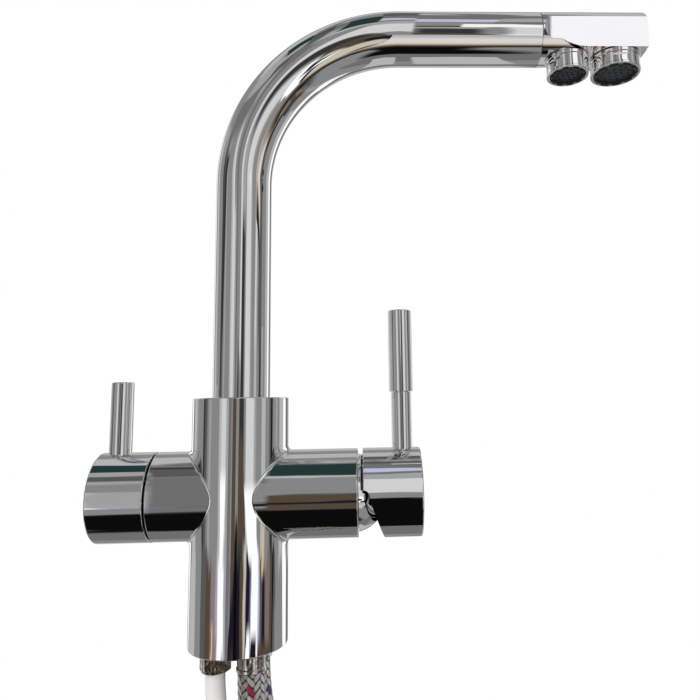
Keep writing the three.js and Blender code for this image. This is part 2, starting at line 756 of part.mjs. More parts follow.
// The plastic insert: a drilled jet plate in a rim with finger notches.
function aeratorInsert(radius, drop) {
  const rim = radius - aeratorWall - seatGap;
  const top = -aeratorLedge - seatGap;
  const foot = -drop - insertStandOut;
  const plateFoot = -drop + insertPlateSunk;
  const cupWall = rim - insertWall;
  const cup = turned([
    [0, plateFoot], [cupWall, plateFoot], [cupWall, foot], [rim, foot], [rim, top], [0, top],
  ], mediumRound);
  const notches = [];
  for (let i = 0; i < 4; i += 1) {
    const notch = block(3 * rim, insertNotchWidth, 2 * insertNotchDepth, 0, 0, foot);
    notches.push(notch.rotateZ((i * Math.PI) / 4));
  }
  const jets = [rod(jetHoleRadius, foot - 1, top + 1, 6)];
  const jetRing = (cupWall + jetHoleRadius) / 2;
  for (let i = 0; i < 6; i += 1) {
    const turn = (i * Math.PI) / 3;
    const jet = rod(jetHoleRadius, foot - 1, top + 1, 6);
    jets.push(jet.translate(jetRing * Math.cos(turn), jetRing * Math.sin(turn), 0));
  }
  return cut(cup, ...notches, ...jets);
}

function buildAerator(name, x, radius, drop, flatsTurn) {
  const outlet = groupAt(head, x, 0, -headFloorDrop);
  const thread = radius - aeratorThreadStep;
  piece(outlet, `${name}_aerator_housing`, aeratorHousing(radius, drop, flatsTurn), chrome);
  piece(outlet, `${name}_aerator_insert`, aeratorInsert(radius, drop), blackPlastic);
  const washerFoot = aeratorThreadLength + seatGap;
  const washer = ring(thread - aeratorThreadWall, thread, washerFoot, washerFoot + aeratorWasherThickness);
  piece(outlet, `${name}_aerator_washer`, washer, blackRubber);
}

buildSpoutTube();
buildFilteredPipe();
buildSpoutBase();
buildSocketFittings();
buildOutletHead();
buildAerator('main', mainAeratorX, mainAeratorRadius, mainAeratorDrop, mainFlatsTurn);
buildAerator('filter', filterAeratorX, filterAeratorRadius, filterAeratorDrop, filterFlatsTurn);

// ---- Mixer cartridge: in the mixer group Z is outwards and -X is up ----

function portHoles(from, to) {
  const ports = Object.values(handedSides).map((side) => {
    const inlet = rod(cartridgePortRadius, from, to, 8);
    return inlet.translate(cartridgeInletDrop, side * cartridgeInletSpread, 0);
  });
  ports.push(rod(cartridgePortRadius, from, to, 8).translate(-cartridgeOutletRise, 0, 0));
  return ports;
}

function buildCartridgeBody() {
  const sealTop = chamberFloor + seatGap + cartridgeSealThickness;
  const seal = rod(cartridgeRadius - cartridgeSealMargin, chamberFloor + seatGap, sealTop, mediumRound);
  piece(mixerSide, 'cartridge_seal', cut(seal, ...portHoles(chamberFloor, sealTop + 1)), blackRubber);
  const baseTop = cartridgeFoot + cartridgeBaseThickness;
  const base = rod(cartridgeRadius, cartridgeFoot, baseTop, mediumRound, edgeEase);
  piece(mixerSide, 'cartridge_base', cut(base, ...portHoles(cartridgeFoot - 1, baseTop + 1)), whitePlastic);
  const discRadius = cartridgeRadius - cartridgeWall - seatGap;
  const discTop = fixedDiscFoot + fixedDiscThickness;
  const fixedDisc = rod(discRadius, fixedDiscFoot, discTop, mediumRound);
  const discPorts = portHoles(fixedDiscFoot - 1, discTop + 1);
  piece(mixerSide, 'cartridge_fixed_disc', cut(fixedDisc, ...discPorts), ceramic);
  const chamber = cartridgeRadius - cartridgeWall;
  const housing = turnedRing([
    [chamber, fixedDiscFoot], [cartridgeRadius, fixedDiscFoot], [cartridgeRadius, housingTop, edgeEase],
    [neckRadius, housingTop], [neckRadius, turretTop], [neckBore, turretTop],
    [neckBore, housingChamberTop], [chamber, housingChamberTop],
  ]);
  piece(mixerSide, 'cartridge_housing', housing, greyPlastic);
}

// The sliding disc sits low when shut and rises as the lever is pulled out.
function buildMovingDisc() {
  const top = movingDiscFoot + movingDiscThickness;
  const offset = discTravel / 2;
  const pocketTop = movingDiscFoot + discPocketDepth;
  const disc = cut(
    rod(movingDiscRadius, movingDiscFoot, top, mediumRound).translate(offset, 0, 0),
    rod(stemTipRadius + 2 * slideGap, top - discRecessDepth, top + 1),
    rod(discPocketRadius, movingDiscFoot - 1, pocketTop).translate(offset, 0, 0),
  );
  piece(mixerSide, 'cartridge_moving_disc', disc, ceramic);
}

function buildTurret() {
  const slotHalf = stemWidth / 2 + slideGap;
  const flangeTop = turretFoot + turretFlangeThickness;
  const blank = turned([
    [0, turretFoot], [turretFlangeRadius, turretFoot], [turretFlangeRadius, flangeTop],
    [turretRadius, flangeTop], [turretRadius, turretTop - seatGap], [0, turretTop - seatGap],
  ], mediumRound);
  const tipFit = stemTipRadius + 2 * slideGap;
  const upReach = (mixerPivot - flangeTop) * Math.tan(liftSwing) + tipFit;
  const downReach = stemWidth / 2 + turretTopAbovePivot * Math.tan(liftSwing) + 2 * slideGap;
  const slotLength = upReach + downReach;
  const slot = block(slotLength, 2 * slotHalf, 3 * turretRadius, (downReach - upReach) / 2, 0, mixerPivot);
  const flangeReach = (mixerPivot - turretFoot) * Math.tan(liftSwing) + tipFit;
  const flangeSlot = block(flangeReach, 2 * slotHalf, 2 * turretFlangeThickness, 0, 0, turretFoot);
  flangeSlot.translate(-flangeReach / 2, 0, 0);
  const pinHole = alongY(rod(pivotPinRadius + seatGap, -2 * turretRadius, 2 * turretRadius));
  const turret = cut(blank, slot, flangeSlot, pinHole.translate(0, 0, mixerPivot));
  piece(mixerSide, 'cartridge_turret', turret, whitePlastic);
  const pinHalf = turretRadius - 1;
  const pin = alongY(rod(pivotPinRadius, -pinHalf, pinHalf)).translate(0, 0, mixerPivot);
  piece(mixerSide, 'cartridge_pivot_pin', pin, steel);
}

function buildStem() {
  const square = stemWidth;
  const foot = mixerPivot - turretTopAbovePivot;
  const top = mixerBossStart + stemInBoss;
  const shank = block(square, square, top - foot, 0, 0, (top + foot) / 2);
  const tip = rod(stemTipRadius, mixerPivot - stemTipReach, foot + 1);
  const eye = alongY(rod(pivotPinRadius + seatGap, -square, square)).translate(0, 0, mixerPivot);
  piece(mixerSide, 'mixer_stem', cut(join(shank, tip), eye), brass);
}

function buildMixerCovers() {
  const nut = cut(
    ring(neckRadius + slideGap, cartridgeRadius, nutFoot, nutFoot + retainingNutLength, fineRound),
    block(3 * cartridgeRadius, nutSlotWidth, 2 * nutSlotDepth, 0, 0, nutFoot + retainingNutLength),
  );
  piece(mixerSide, 'cartridge_retaining_nut', nut, brass);
  piece(mixerSide, 'mixer_dome', domeShell(), chrome);
}

// The dome is part of a ball about the lever's pivot, so the handle slides round it.
function domeShell() {
  const seat = mixerArmEnd + seatGap;
  const skirtOuter = cartridgeRadius;
  const inner = domeRadius - domeWall;
  const outline = [[skirtOuter - domeWall, seat - domeSkirtLength], [skirtOuter, seat - domeSkirtLength]];
  outline.push([skirtOuter, seat]);
  const arcSteps = 4;
  const outerStart = Math.asin((seat - mixerPivot) / domeRadius);
  const outerEnd = Math.acos(domeMouth / domeRadius);
  for (let i = 0; i <= arcSteps; i += 1) {
    const turn = THREE.MathUtils.lerp(outerStart, outerEnd, i / arcSteps);
    outline.push([domeRadius * Math.cos(turn), mixerPivot + domeRadius * Math.sin(turn)]);
  }
  const innerEnd = Math.acos(domeMouth / inner);
  const innerStart = Math.acos((skirtOuter - domeWall) / inner);
  for (let i = arcSteps; i >= 0; i -= 1) {
    const turn = THREE.MathUtils.lerp(innerStart, innerEnd, i / arcSteps);
    outline.push([inner * Math.cos(turn), mixerPivot + inner * Math.sin(turn)]);
  }
  return turnedRing(outline);
}

// ---- Mixer handle ----

// The skirt is cut back on its lower side, so that the handle can tilt outwards.
function skirtCutter() {
  const slope = Math.tan(THREE.MathUtils.degToRad(skirtCutSlope));
  const far = 2 * handleRadius;
  const start = mixerHandleStart - 1;
  const outline = new THREE.Shape();
  outline.moveTo(start, skirtCutStart);
  outline.lineTo(mixerHandleStart, skirtCutStart);
  const cornerX = mixerHandleStart + skirtCutCorner;
  const cornerHeight = skirtCutStart - skirtCutCornerDrop;
  outline.quadraticCurveTo(cornerX, skirtCutStart, cornerX, cornerHeight);
  outline.lineTo(cornerX + (cornerHeight + far) * slope, -far);
  outline.lineTo(start, -far);
  const toArm = new THREE.Matrix4().makeBasis(
    new THREE.Vector3(0, 0, 1),
    new THREE.Vector3(-1, 0, 0),
    new THREE.Vector3(0, -1, 0),
  );
  return prism(outline, -far, far).applyMatrix4(toArm);
}

function buildMixerHandle() {
  const far = 2 * handleRadius;
  const cavityEnd = mixerHandleEnd - mixerEndWall;
  const shell = turned([
    [0, mixerBossStart], [mixerBossRadius, mixerBossStart], [mixerBossRadius, cavityEnd],
    [mixerBore, cavityEnd], [mixerBore, mixerHandleStart], [handleRadius, mixerHandleStart, edgeEase / 2],
    [handleRadius, mixerHandleEnd, edgeEase], [0, mixerHandleEnd],
  ]);
  const rodHole = alongMinusX(rod(mixerRodRadius + seatGap, mixerBossRadius, far, mediumRound));
  const square = stemWidth + 2 * seatGap;
  const socketLength = stemInBoss + seatGap + 1;
  const stemSocket = block(square, square, socketLength, 0, 0, mixerBossStart - 1 + socketLength / 2);
  const screwHole = alongX(rod(handleScrewRadius + seatGap, 0, mixerBossRadius + 1));
  const access = alongX(rod(screwAccessRadius, mixerBossRadius + 1, far));
  piece(mixerSide, 'mixer_handle', cut(
    shell,
    skirtCutter(),
    rodHole.translate(0, 0, mixerLeverAt),
    stemSocket,
    screwHole.translate(0, 0, mixerScrewAt),
    access.translate(0, 0, mixerScrewAt),
  ), chrome);
  const screw = handleScrew(stemWidth / 2 + seatGap, mixerBossRadius);
  piece(mixerSide, 'mixer_handle_screw', alongX(screw).translate(0, 0, mixerScrewAt), steel);
}

function handleScrew(from, to) {
  const key = prism(hexagon(handleScrewKey), to - screwKeyDepth, to + 1);
  return cut(rod(handleScrewRadius, from, to), key);
}

function buildMixerLever() {
  const lever = groupAt(tap, mixerLeverAt, 0, armHeight);
  const rodEnd = mixerGripEnd - mixerGripCap - seatGap;
  const stop = mixerGripStart - seatGap;
  const gripBore = mixerGripRadius - mixerGripWall;
  const neck = gripBore - seatGap;
  const rodSolid = turned([
    [0, mixerBossRadius + seatGap], [mixerRodRadius, mixerBossRadius + seatGap], [mixerRodRadius, stop],
    [neck, stop], [neck, rodEnd, edgeEase], [0, rodEnd],
  ], mediumRound);
  piece(lever, 'mixer_lever_rod', rodSolid, chrome);
  const grip = turned([
    [gripBore, mixerGripStart], [mixerGripRadius, mixerGripStart, edgeEase],
    [mixerGripRadius, mixerGripEnd, edgeEase], [0, mixerGripEnd],
    [0, rodEnd + seatGap], [gripBore, rodEnd + seatGap], [gripBore, mixerGripStart],
  ], mediumRound);
  piece(lever, 'mixer_lever_grip', grip, chrome);
}

buildCartridgeBody();
buildMovingDisc();
buildTurret();
buildStem();
buildMixerCovers();
buildMixerHandle();
buildMixerLever();

// ---- Filtered water valve and handle: in this group Z is outwards and +X is up ----

function buildFilterValve() {
  const sealFoot = valveSeat + seatGap;
  const bodyFoot = sealFoot + valveSealThickness + seatGap;
  const sealOuter = valveRadius - seatGap;
  const sealTop = sealFoot + valveSealThickness;
  const seal = ring(sealOuter - valveSealWidth, sealOuter, sealFoot, sealTop, smallRound);
  piece(filterSide, 'filter_valve_seal', seal, blackRubber);
  const headEnd = valveHeadStart + valveHeadLength;
  const barrel = rod(valveRadius, bodyFoot, valveHeadStart + 1, mediumRound);
  const hexHead = hexBlank(valveHeadAcrossFlats, valveHeadStart, headEnd);
  const neck = rod(valveNeckRadius, headEnd - 1, valveNeckEnd, mediumRound, edgeEase);
  const windowHeight = (bodyFoot + 2 * valveDiscThickness + valveChamberEnd) / 2;
  piece(filterSide, 'filter_valve_body', cut(
    join(barrel, hexHead, neck),
    rod(valveChamberRadius, bodyFoot - 1, valveChamberEnd, mediumRound),
    rod(spindleRadius + slideGap, bodyFoot, valveNeckEnd + 1, smallRound),
    block(3 * valveRadius, valveWindowWidth, valveWindowHeight, 0, 0, windowHeight),
  ), brass);
  const chamberFit = valveChamberRadius - seatGap;
  const fixedFoot = bodyFoot + seatGap;
  const movingFoot = fixedFoot + valveDiscThickness + seatGap;
  piece(filterSide, 'filter_fixed_disc', portedDisc(chamberFit, fixedFoot, 1), ceramic);
  piece(filterSide, 'filter_moving_disc', portedDisc(chamberFit, movingFoot, 0), ceramic);
  const flangeFoot = movingFoot + valveDiscThickness + seatGap;
  buildSpindle(chamberFit, flangeFoot);
}

// A ceramic disc with a pair of round ports on opposite sides.
function portedDisc(radius, foot, quarter) {
  const blank = rod(radius, foot, foot + valveDiscThickness, mediumRound);
  const ports = [0, Math.PI].map((turn) => {
    const port = rod(valvePortRadius, foot - 1, foot + valveDiscThickness + 1, smallRound);
    return port.translate(radius / 2, 0, 0).rotateZ(turn + (quarter * Math.PI) / 2);
  });
  return cut(blank, ...ports);
}

function buildSpindle(flangeRadius, flangeFoot) {
  const flangeTop = flangeFoot + spindleFlangeThickness;
  const core = spindleRadius - splineDepth;
  const blank = turned([
    [0, flangeFoot], [flangeRadius, flangeFoot], [flangeRadius, flangeTop], [spindleRadius, flangeTop],
    [spindleRadius, spindleEnd - splineLength], [core, spindleEnd - splineLength],
    [core, spindleEnd], [0, spindleEnd],
  ], smallRound);
  const points = [];
  for (let i = 0; i < 2 * splineCount; i += 1) {
    const turn = (i * Math.PI) / splineCount;
    const reach = i % 2 ? core : spindleRadius;
    points.push([reach * Math.cos(turn), reach * Math.sin(turn)]);
  }
  const spline = prism(polygon(points), spindleEnd - splineLength - 1, spindleEnd - edgeEase);
  piece(filterSide, 'filter_valve_spindle', join(blank, spline), brass);
}

function buildFilterHandle() {
  const far = 2 * handleRadius;
  const cavityEnd = filterHandleEnd - filterEndWall;
  const spindleFit = spindleRadius + seatGap;
  const shell = turned([
    [0, filterBossStart], [filterBossRadius, filterBossStart], [filterBossRadius, cavityEnd],
    [filterBore, cavityEnd], [filterBore, filterHandleStart],
    [handleRadius, filterHandleStart, edgeEase / 2], [handleRadius, filterHandleEnd, edgeEase],
    [0, filterHandleEnd],
  ]);
  const rodHole = alongX(rod(filterLeverRadius + seatGap, filterBossRadius, far, mediumRound));
  const screwHole = alongMinusX(rod(handleScrewRadius + seatGap, 0, filterBossRadius + 1));
  const access = alongMinusX(rod(screwAccessRadius, filterBossRadius + 1, far));
  piece(filterSide, 'filter_handle', cut(
    shell,
    rodHole.translate(0, 0, filterLeverAt),
    rod(spindleFit, filterBossStart - 1, spindleEnd + seatGap, smallRound),
    screwHole.translate(0, 0, filterScrewAt),
    access.translate(0, 0, filterScrewAt),
  ), chrome);
  const screw = alongMinusX(handleScrew(spindleFit, filterBossRadius));
  piece(filterSide, 'filter_handle_screw', screw.translate(0, 0, filterScrewAt), steel);
  const lever = groupAt(tap, -filterLeverAt, 0, armHeight);
  const leverFoot = filterBossRadius + seatGap;
  const leverSolid = turned([
    [0, leverFoot], [filterLeverRadius, leverFoot],
    [filterLeverRadius, filterLeverEnd, edgeEase], [0, filterLeverEnd],
  ], mediumRound);
  piece(lever, 'filter_lever_rod', leverSolid, chrome);
  const ringTop = filterArmEnd + filterRingStandOut;
  const glide = ring(filterRingInner, filterRingOuter, ringTop - filterRingThickness, ringTop);
  piece(filterSide, 'filter_glide_ring', glide, blackPlastic);
}

buildFilterValve();
buildFilterHandle();

// ---- Pipes under the worktop ----

function routeCurve(route) {
  return new THREE.CatmullRomCurve3(route.map(([x, y, z]) => new THREE.Vector3(x, y, z)));
}

function freePipe(route, radius) {
  const curve = routeCurve(route);
  const steps = Math.ceil(curve.getLength() / (2 * radius * hoseStep));
  const section = polygon([...Array(hoseRound).keys()].map((k) => {
    const turn = (2 * k * Math.PI) / hoseRound;
    return [radius * Math.cos(turn), radius * Math.sin(turn)];
  }));
  return new THREE.ExtrudeGeometry(section, { steps, extrudePath: curve, bevelEnabled: false });
}

// A crimped tail under the tap, the hose, and a swivelling union nut on its end.
function buildSupplyHose(name, side, route) {
  const top = groupAt(tap, supplyX, side * supplyY, 0);
  const collarTop = baseRecessDepth - seatGap;
  const collarFoot = collarTop - tailHexHeight;
  const [, , hoseTop] = route[0];
  const [endX, endY, hoseEnd] = route[route.length - 1];
  const threadTop = baseRecessDepth + tailThreadLength;
  const ferruleFoot = hoseTop + seatGap;
  const tail = cut(
    join(
      rod(tailThreadRadius, collarTop - 1, threadTop, smallRound, edgeEase),
      hexBlank(tailHexAcrossFlats, collarFoot, collarTop),
      rod(barbRadius, ferruleFoot, collarFoot + 1, smallRound),
    ),
    rod(tailBoreRadius, ferruleFoot - 1, threadTop + 1),
  );
  piece(top, `${name}_hose_tail`, tail, brass);
  const ferrule = ring(barbRadius + seatGap, ferruleRadius, ferruleFoot, ferruleFoot + ferruleLength);
  piece(top, `${name}_hose_ferrule`, ferrule, steel);
  piece(tap, `${name}_hose`, freePipe(route, hoseRadius), braid);
  buildHoseEnd(name, groupAt(tap, endX, endY, hoseEnd - seatGap));
}

function buildHoseEnd(name, end) {
  const ferrule = ring(barbRadius + seatGap, ferruleRadius, -endFerruleLength, 0);
  piece(end, `${name}_hose_end_ferrule`, ferrule, steel);
  const flangeTop = -endFerruleLength - unionNutFloor - 2 * seatGap - slideGap;
  const flangeFoot = flangeTop - nippleFlangeThickness;
  const nipple = cut(
    join(
      rod(barbRadius, flangeTop - 1, 0, smallRound),
      rod(nippleFlangeRadius, flangeFoot, flangeTop, mediumRound),
    ),
    rod(tailBoreRadius, flangeFoot - 1, 1),
  );
  piece(end, `${name}_hose_end_nipple`, nipple, brass);
  const nutTop = -endFerruleLength - seatGap;
  const nutFoot = nutTop - unionNutHeight;
  const nut = cut(
    hexBlank(unionNutAcrossFlats, nutFoot, nutTop),
    rod(unionNutMouthRadius, nutFoot - 1, nutTop - unionNutFloor, mediumRound),
    rod(barbRadius + slideGap, nutFoot, nutTop + 1, smallRound),
  );
  piece(end, `${name}_union_nut`, nut, brass);
  const washerTop = flangeFoot - seatGap;
  const washerFoot = washerTop - unionWasherThickness;
  const washer = ring(barbRadius, nippleFlangeRadius, washerFoot, washerTop, smallRound);
  piece(end, `${name}_union_washer`, washer, blackRubber);
}

function buildFilterSupply() {
  const top = groupAt(tap, filterSupplyX, filterSupplyY, 0);
  const hexTop = baseRecessDepth - seatGap;
  const hexFoot = hexTop - filterFittingHexHeight;
  const threadTop = baseRecessDepth + tailThreadLength;
  const fitting = cut(
    join(
      rod(tailThreadRadius, hexTop - 1, threadTop, smallRound, edgeEase),
      hexBlank(compressionHexAcrossFlats, hexFoot, hexTop),
    ),
    rod(tailBoreRadius, hexFoot - 1, threadTop + 1),
  );
  piece(top, 'filter_supply_fitting', fitting, darkNickel);
  const nutTop = hexFoot - seatGap;
  const nutFoot = nutTop - compressionNutLength;
  const nut = cut(
    hexBlank(compressionHexAcrossFlats, nutFoot, nutTop),
    rod(filterTubeRadius + seatGap, nutFoot - 1, nutTop - compressionNutWall, smallRound),
    rod(tailBoreRadius, nutFoot, nutTop + 1),
  );
  piece(top, 'filter_compression_nut', nut, darkNickel);
  piece(tap, 'filter_supply_tube', freePipe(filterRoute, filterTubeRadius), whitePlastic);
  buildFilterConnector();
}

// A straight push-fit connector on the end of the filtered supply tube.
function buildFilterConnector() {
  const [endX, endY, endZ] = filterRoute[filterRoute.length - 1];
  const end = groupAt(tap, endX, endY, endZ - seatGap);
  const mouth = filterTubeRadius + seatGap;
  const foot = -connectorLength;
  const middle = foot + connectorSocketDepth;
  const shoulder = -connectorNose;
  const sleeveBore = colletRadius - connectorLip;
  const body = cut(
    join(
      rod(colletRadius, shoulder - 1, 0, mediumRound),
      rod(connectorRadius, foot, shoulder, mediumRound, 2 * edgeEase),
    ),
    rod(sleeveBore, foot - 1, middle, mediumRound),
    rod(tailBoreRadius, foot, 1),
  );
  piece(end, 'filter_connector_body', body, whitePlastic);
  const sleeveRadius = sleeveBore - seatGap;
  const sleeveTop = middle - seatGap;
  const flangeTop = foot - seatGap;
  const flangeFoot = flangeTop - colletFlange;
  const collet = turnedRing([
    [mouth, sleeveTop], [sleeveRadius, sleeveTop], [sleeveRadius, flangeTop],
    [colletRadius, flangeTop], [colletRadius, flangeFoot], [mouth, flangeFoot],
  ], mediumRound);
  piece(end, 'filter_connector_collet', collet, greyPlastic);
}

buildSupplyHose('hot', handedSides.hot, hotRoute);
buildSupplyHose('cold', handedSides.cold, coldRoute);
buildFilterSupply();

export default tap;
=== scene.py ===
"""A three way filtered water tap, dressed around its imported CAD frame."""

import json
from math import acos, asin, atan2, ceil, cos, hypot, pi, radians, sin, sqrt, tan, tau

import bmesh
import bpy
from bpy.props import FloatProperty, FloatVectorProperty, IntProperty, PointerProperty
from mathutils import Matrix, Vector
from mathutils.geometry import interpolate_bezier


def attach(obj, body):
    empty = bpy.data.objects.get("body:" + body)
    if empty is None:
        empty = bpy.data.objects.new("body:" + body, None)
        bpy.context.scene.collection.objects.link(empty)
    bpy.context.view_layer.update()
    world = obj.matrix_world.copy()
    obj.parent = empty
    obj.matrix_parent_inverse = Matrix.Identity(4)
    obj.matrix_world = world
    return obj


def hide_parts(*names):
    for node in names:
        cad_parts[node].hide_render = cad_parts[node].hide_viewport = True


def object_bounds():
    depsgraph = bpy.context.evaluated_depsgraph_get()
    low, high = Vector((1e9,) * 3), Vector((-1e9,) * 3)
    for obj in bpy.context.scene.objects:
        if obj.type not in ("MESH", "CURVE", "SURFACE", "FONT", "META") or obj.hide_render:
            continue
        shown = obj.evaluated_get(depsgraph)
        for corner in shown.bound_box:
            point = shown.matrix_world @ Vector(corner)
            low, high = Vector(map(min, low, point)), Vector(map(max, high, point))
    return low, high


bl_info = {
    "name": "Three way filtered water tap",
    "version": (1, 0, 0),
    "blender": (4, 5, 0),
    "location": "3D View > Sidebar > Tap",
    "description": "Builds the visible pieces of a three way tap around its frame",
    "category": "Add Mesh",
}

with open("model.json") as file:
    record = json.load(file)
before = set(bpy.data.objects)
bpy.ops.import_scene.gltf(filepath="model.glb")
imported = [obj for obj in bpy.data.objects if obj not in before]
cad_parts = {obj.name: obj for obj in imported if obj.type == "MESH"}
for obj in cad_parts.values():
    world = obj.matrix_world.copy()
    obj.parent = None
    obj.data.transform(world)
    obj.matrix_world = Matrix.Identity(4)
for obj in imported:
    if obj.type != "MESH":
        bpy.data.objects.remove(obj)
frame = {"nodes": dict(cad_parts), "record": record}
CAD_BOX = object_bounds()
MM = 0.001
# The gap kept between the end of a piece and what it stands in.
CLEAR = 0.3 * MM

# Distances, in metres, below which points are joined and edges are dropped.
WELD, NOTHING = 1e-7, 1e-8

# Centre lines of the free pipes, in metres, as the frame has them.
HOT_ROUTE = (
    (0.008, -0.0082, -0.0098), (0.00805, -0.0082, -0.015), (0.0085, -0.0084, -0.025),
    (0.0098, -0.009, -0.044), (0.0127, -0.0109, -0.075), (0.017, -0.014, -0.115),
    (0.0203, -0.0166, -0.155), (0.022, -0.018, -0.195), (0.0223, -0.0182, -0.23),
    (0.0223, -0.0182, -0.262),
)
COLD_ROUTE = (
    (0.008, 0.0082, -0.0098), (0.0081, 0.0082, -0.015), (0.0089, 0.0084, -0.025),
    (0.0116, 0.0091, -0.044), (0.0175, 0.0112, -0.077), (0.0235, 0.0139, -0.117),
    (0.0275, 0.0162, -0.157), (0.0291, 0.0174, -0.197), (0.0293, 0.0175, -0.232),
    (0.0293, 0.0175, -0.262),
)
FILTER_ROUTE = (
    (-0.00975, -0.005, -0.0108), (-0.0097, -0.005, -0.015), (-0.0091, -0.005, -0.024),
    (-0.008, -0.0051, -0.041), (-0.0072, -0.0055, -0.062), (-0.0078, -0.0061, -0.09),
    (-0.01, -0.0069, -0.125), (-0.0126, -0.0076, -0.165), (-0.0141, -0.008, -0.205),
    (-0.0143, -0.0081, -0.245), (-0.0143, -0.0081, -0.275),
)
HOSE_ROUTES = {"hot": HOT_ROUTE, "cold": COLD_ROUTE}


# ---- Sizes and colours that a user would change ----

def length(name, millimetres, description):
    return FloatProperty(
        name=name, description=description, default=millimetres * MM, min=0.0,
        unit="LENGTH", subtype="DISTANCE", precision=4,
    )


def colour(name, value, description):
    return FloatVectorProperty(
        name=name, description=description, default=value, size=3,
        min=0.0, max=1.0, subtype="COLOR",
    )


def share(name, value, description):
    return FloatProperty(
        name=name, description=description, default=value, min=0.0, max=1.0, subtype="FACTOR",
    )


class BodySizes(bpy.types.PropertyGroup):
    """Sizes of the body casting."""

    radius: length("Column radius", 24.0, "Radius of the upright column")
    height: length("Column height", 118.8, "Height of the upright column")
    arm_height: length("Arm height", 70.5, "Height of the axis of both side arms")
    arm_radius: length("Arm radius", 21.9, "Radius of both side arms")
    mixer_arm_end: length("Mixer arm", 59.6, "Reach of the mixer arm from the column's axis")
    filter_arm_end: length("Filter arm", 40.9, "Reach of the filtered water arm")
    fillet: length("Fillet", 2.2, "Radius of the fillet where an arm meets the column")
    edge: length("Edge", 0.6, "Rounding of the outer edges")
    recess_radius: length("Recess radius", 19.5, "Radius of the recess in the underside")
    recess_depth: length("Recess depth", 9.0, "Depth of the recess in the underside")
    socket_radius: length("Socket radius", 14.8, "Radius of the socket that the spout stands in")
    socket_depth: length("Socket depth", 34.0, "Depth of the spout's socket")
    rows: IntProperty(
        name="Rows", description="Steps of a half turn about an arm", default=72, min=16,
    )


class SpoutSizes(bpy.types.PropertyGroup):
    """Sizes of the spout tube."""

    radius: length("Tube radius", 14.5, "Outer radius of the spout tube")
    wall: length("Wall", 1.2, "Thickness of the tube's wall")
    foot: length("Foot height", 108.3, "Height of the tube's lower end")
    axis_height: length("Axis height", 317.4, "Height of the level run's axis")
    bend_radius: length("Bend radius", 85.0, "Radius of the bend's centre line")
    seam: length("Seam", 163.4, "Distance of the seam from the column's axis")
    gap: length("Seam gap", 0.3, "Gap at the seam between the tube and the outlet head")


class HeadSizes(bpy.types.PropertyGroup):
    """Sizes of the outlet head."""

    length: length("Head length", 58.5, "Length of the outlet head")
    half_width: length("Half width", 13.0, "Half the distance between the flat sides")
    floor_drop: length("Floor drop", 11.1, "Flat underside below the spout's axis")
    shoulder_rise: length("Shoulder rise", 6.6, "Top of the flat sides above the spout's axis")
    scoop_start: length("Scoop start", 3.0, "Start of the scoop from the seam")
    scoop_length: length("Scoop length", 22.0, "Length of the scoop where the sides run out")
    run_out: length("Run out", 6.5, "Distance in which the flat sides ease in from the seam")
    rim: length("Rim", 0.8, "Full round bar left beside the seam")
    floor_start: length("Floor start", 3.6, "Start of the flat underside from the seam")
    edge: length("Edge", 0.5, "Rounding of the head's edges")


class HandleSizes(bpy.types.PropertyGroup):
    """Sizes of the two handles and their levers."""

    radius: length("Handle radius", 22.0, "Radius of both handles")
    edge: length("Edge", 0.7, "Rounding of the end of a handle")
    mixer_start: length("Mixer start", 62.0, "Where the mixer handle starts on its arm")
    mixer_end: length("Mixer end", 91.2, "Where the mixer handle ends")
    mixer_lever_at: length("Mixer lever", 82.3, "Distance of the mixer lever along the arm")
    mixer_rod: length("Mixer rod radius", 5.15, "Radius of the mixer lever's rod")
    grip_radius: length("Grip radius", 6.15, "Radius of the sleeve on the mixer lever")
    grip_start: length("Grip start", 50.4, "Foot of the sleeve above the arm's axis")
    grip_end: length("Grip end", 92.8, "Top of the sleeve above the arm's axis")
    filter_start: length("Filter start", 41.8, "Where the filtered water handle starts")
    filter_end: length("Filter end", 68.8, "Where the filtered water handle ends")
    filter_lever_at: length("Filter lever", 60.3, "Distance of the filter lever along the arm")
    filter_rod: length("Filter rod radius", 5.5, "Radius of the filtered water lever")
    filter_rod_end: length("Filter rod end", 57.3, "Top of the filter lever above the axis")


class PipeSizes(bpy.types.PropertyGroup):
    """Sizes of the pipes under the worktop."""

    hose_radius: length("Hose radius", 6.5, "Radius over the braid")
    tube_radius: length("Tube radius", 4.76, "Outer radius of the white supply tube")
    braid_relief: length("Braid relief", 0.45, "Height of the braid's strands")
    carriers: IntProperty(
        name="Strands", description="Strands each way round the braid", default=12, min=6,
    )


class FinishColours(bpy.types.PropertyGroup):
    """Colours of the finishes."""

    chrome: colour("Chrome", (0.86, 0.865, 0.87), "Polished chromium plate")
    brass: colour("Brass", (0.72, 0.55, 0.27), "Bare machined brass")
    nickel: colour("Dark nickel", (0.36, 0.3, 0.23), "Dull nickel plate")
    steel: colour("Steel", (0.66, 0.66, 0.65), "Plain stainless steel")
    ceramic: colour("Ceramic", (0.88, 0.87, 0.83), "Lapped ceramic")
    rubber: colour("Rubber", (0.02, 0.02, 0.02), "Seals and washers")
    black_plastic: colour("Black plastic", (0.022, 0.024, 0.026), "Glide ring and inserts")
    grey_plastic: colour("Grey plastic", (0.28, 0.3, 0.31), "Cartridge housing")
    white_plastic: colour("White plastic", (0.84, 0.82, 0.77), "Cartridge base and connector")
    white_tube: colour("White tube", (0.74, 0.73, 0.71), "Polyethylene supply tube")
    wire: colour("Braid wire", (0.9, 0.88, 0.84), "Wire of the hose braid")
    hot_tracer: colour("Red tracer", (0.2, 0.012, 0.025), "Coloured strand of the hot hose")
    cold_tracer: colour("Blue tracer", (0.012, 0.02, 0.11), "Coloured strand of the cold hose")


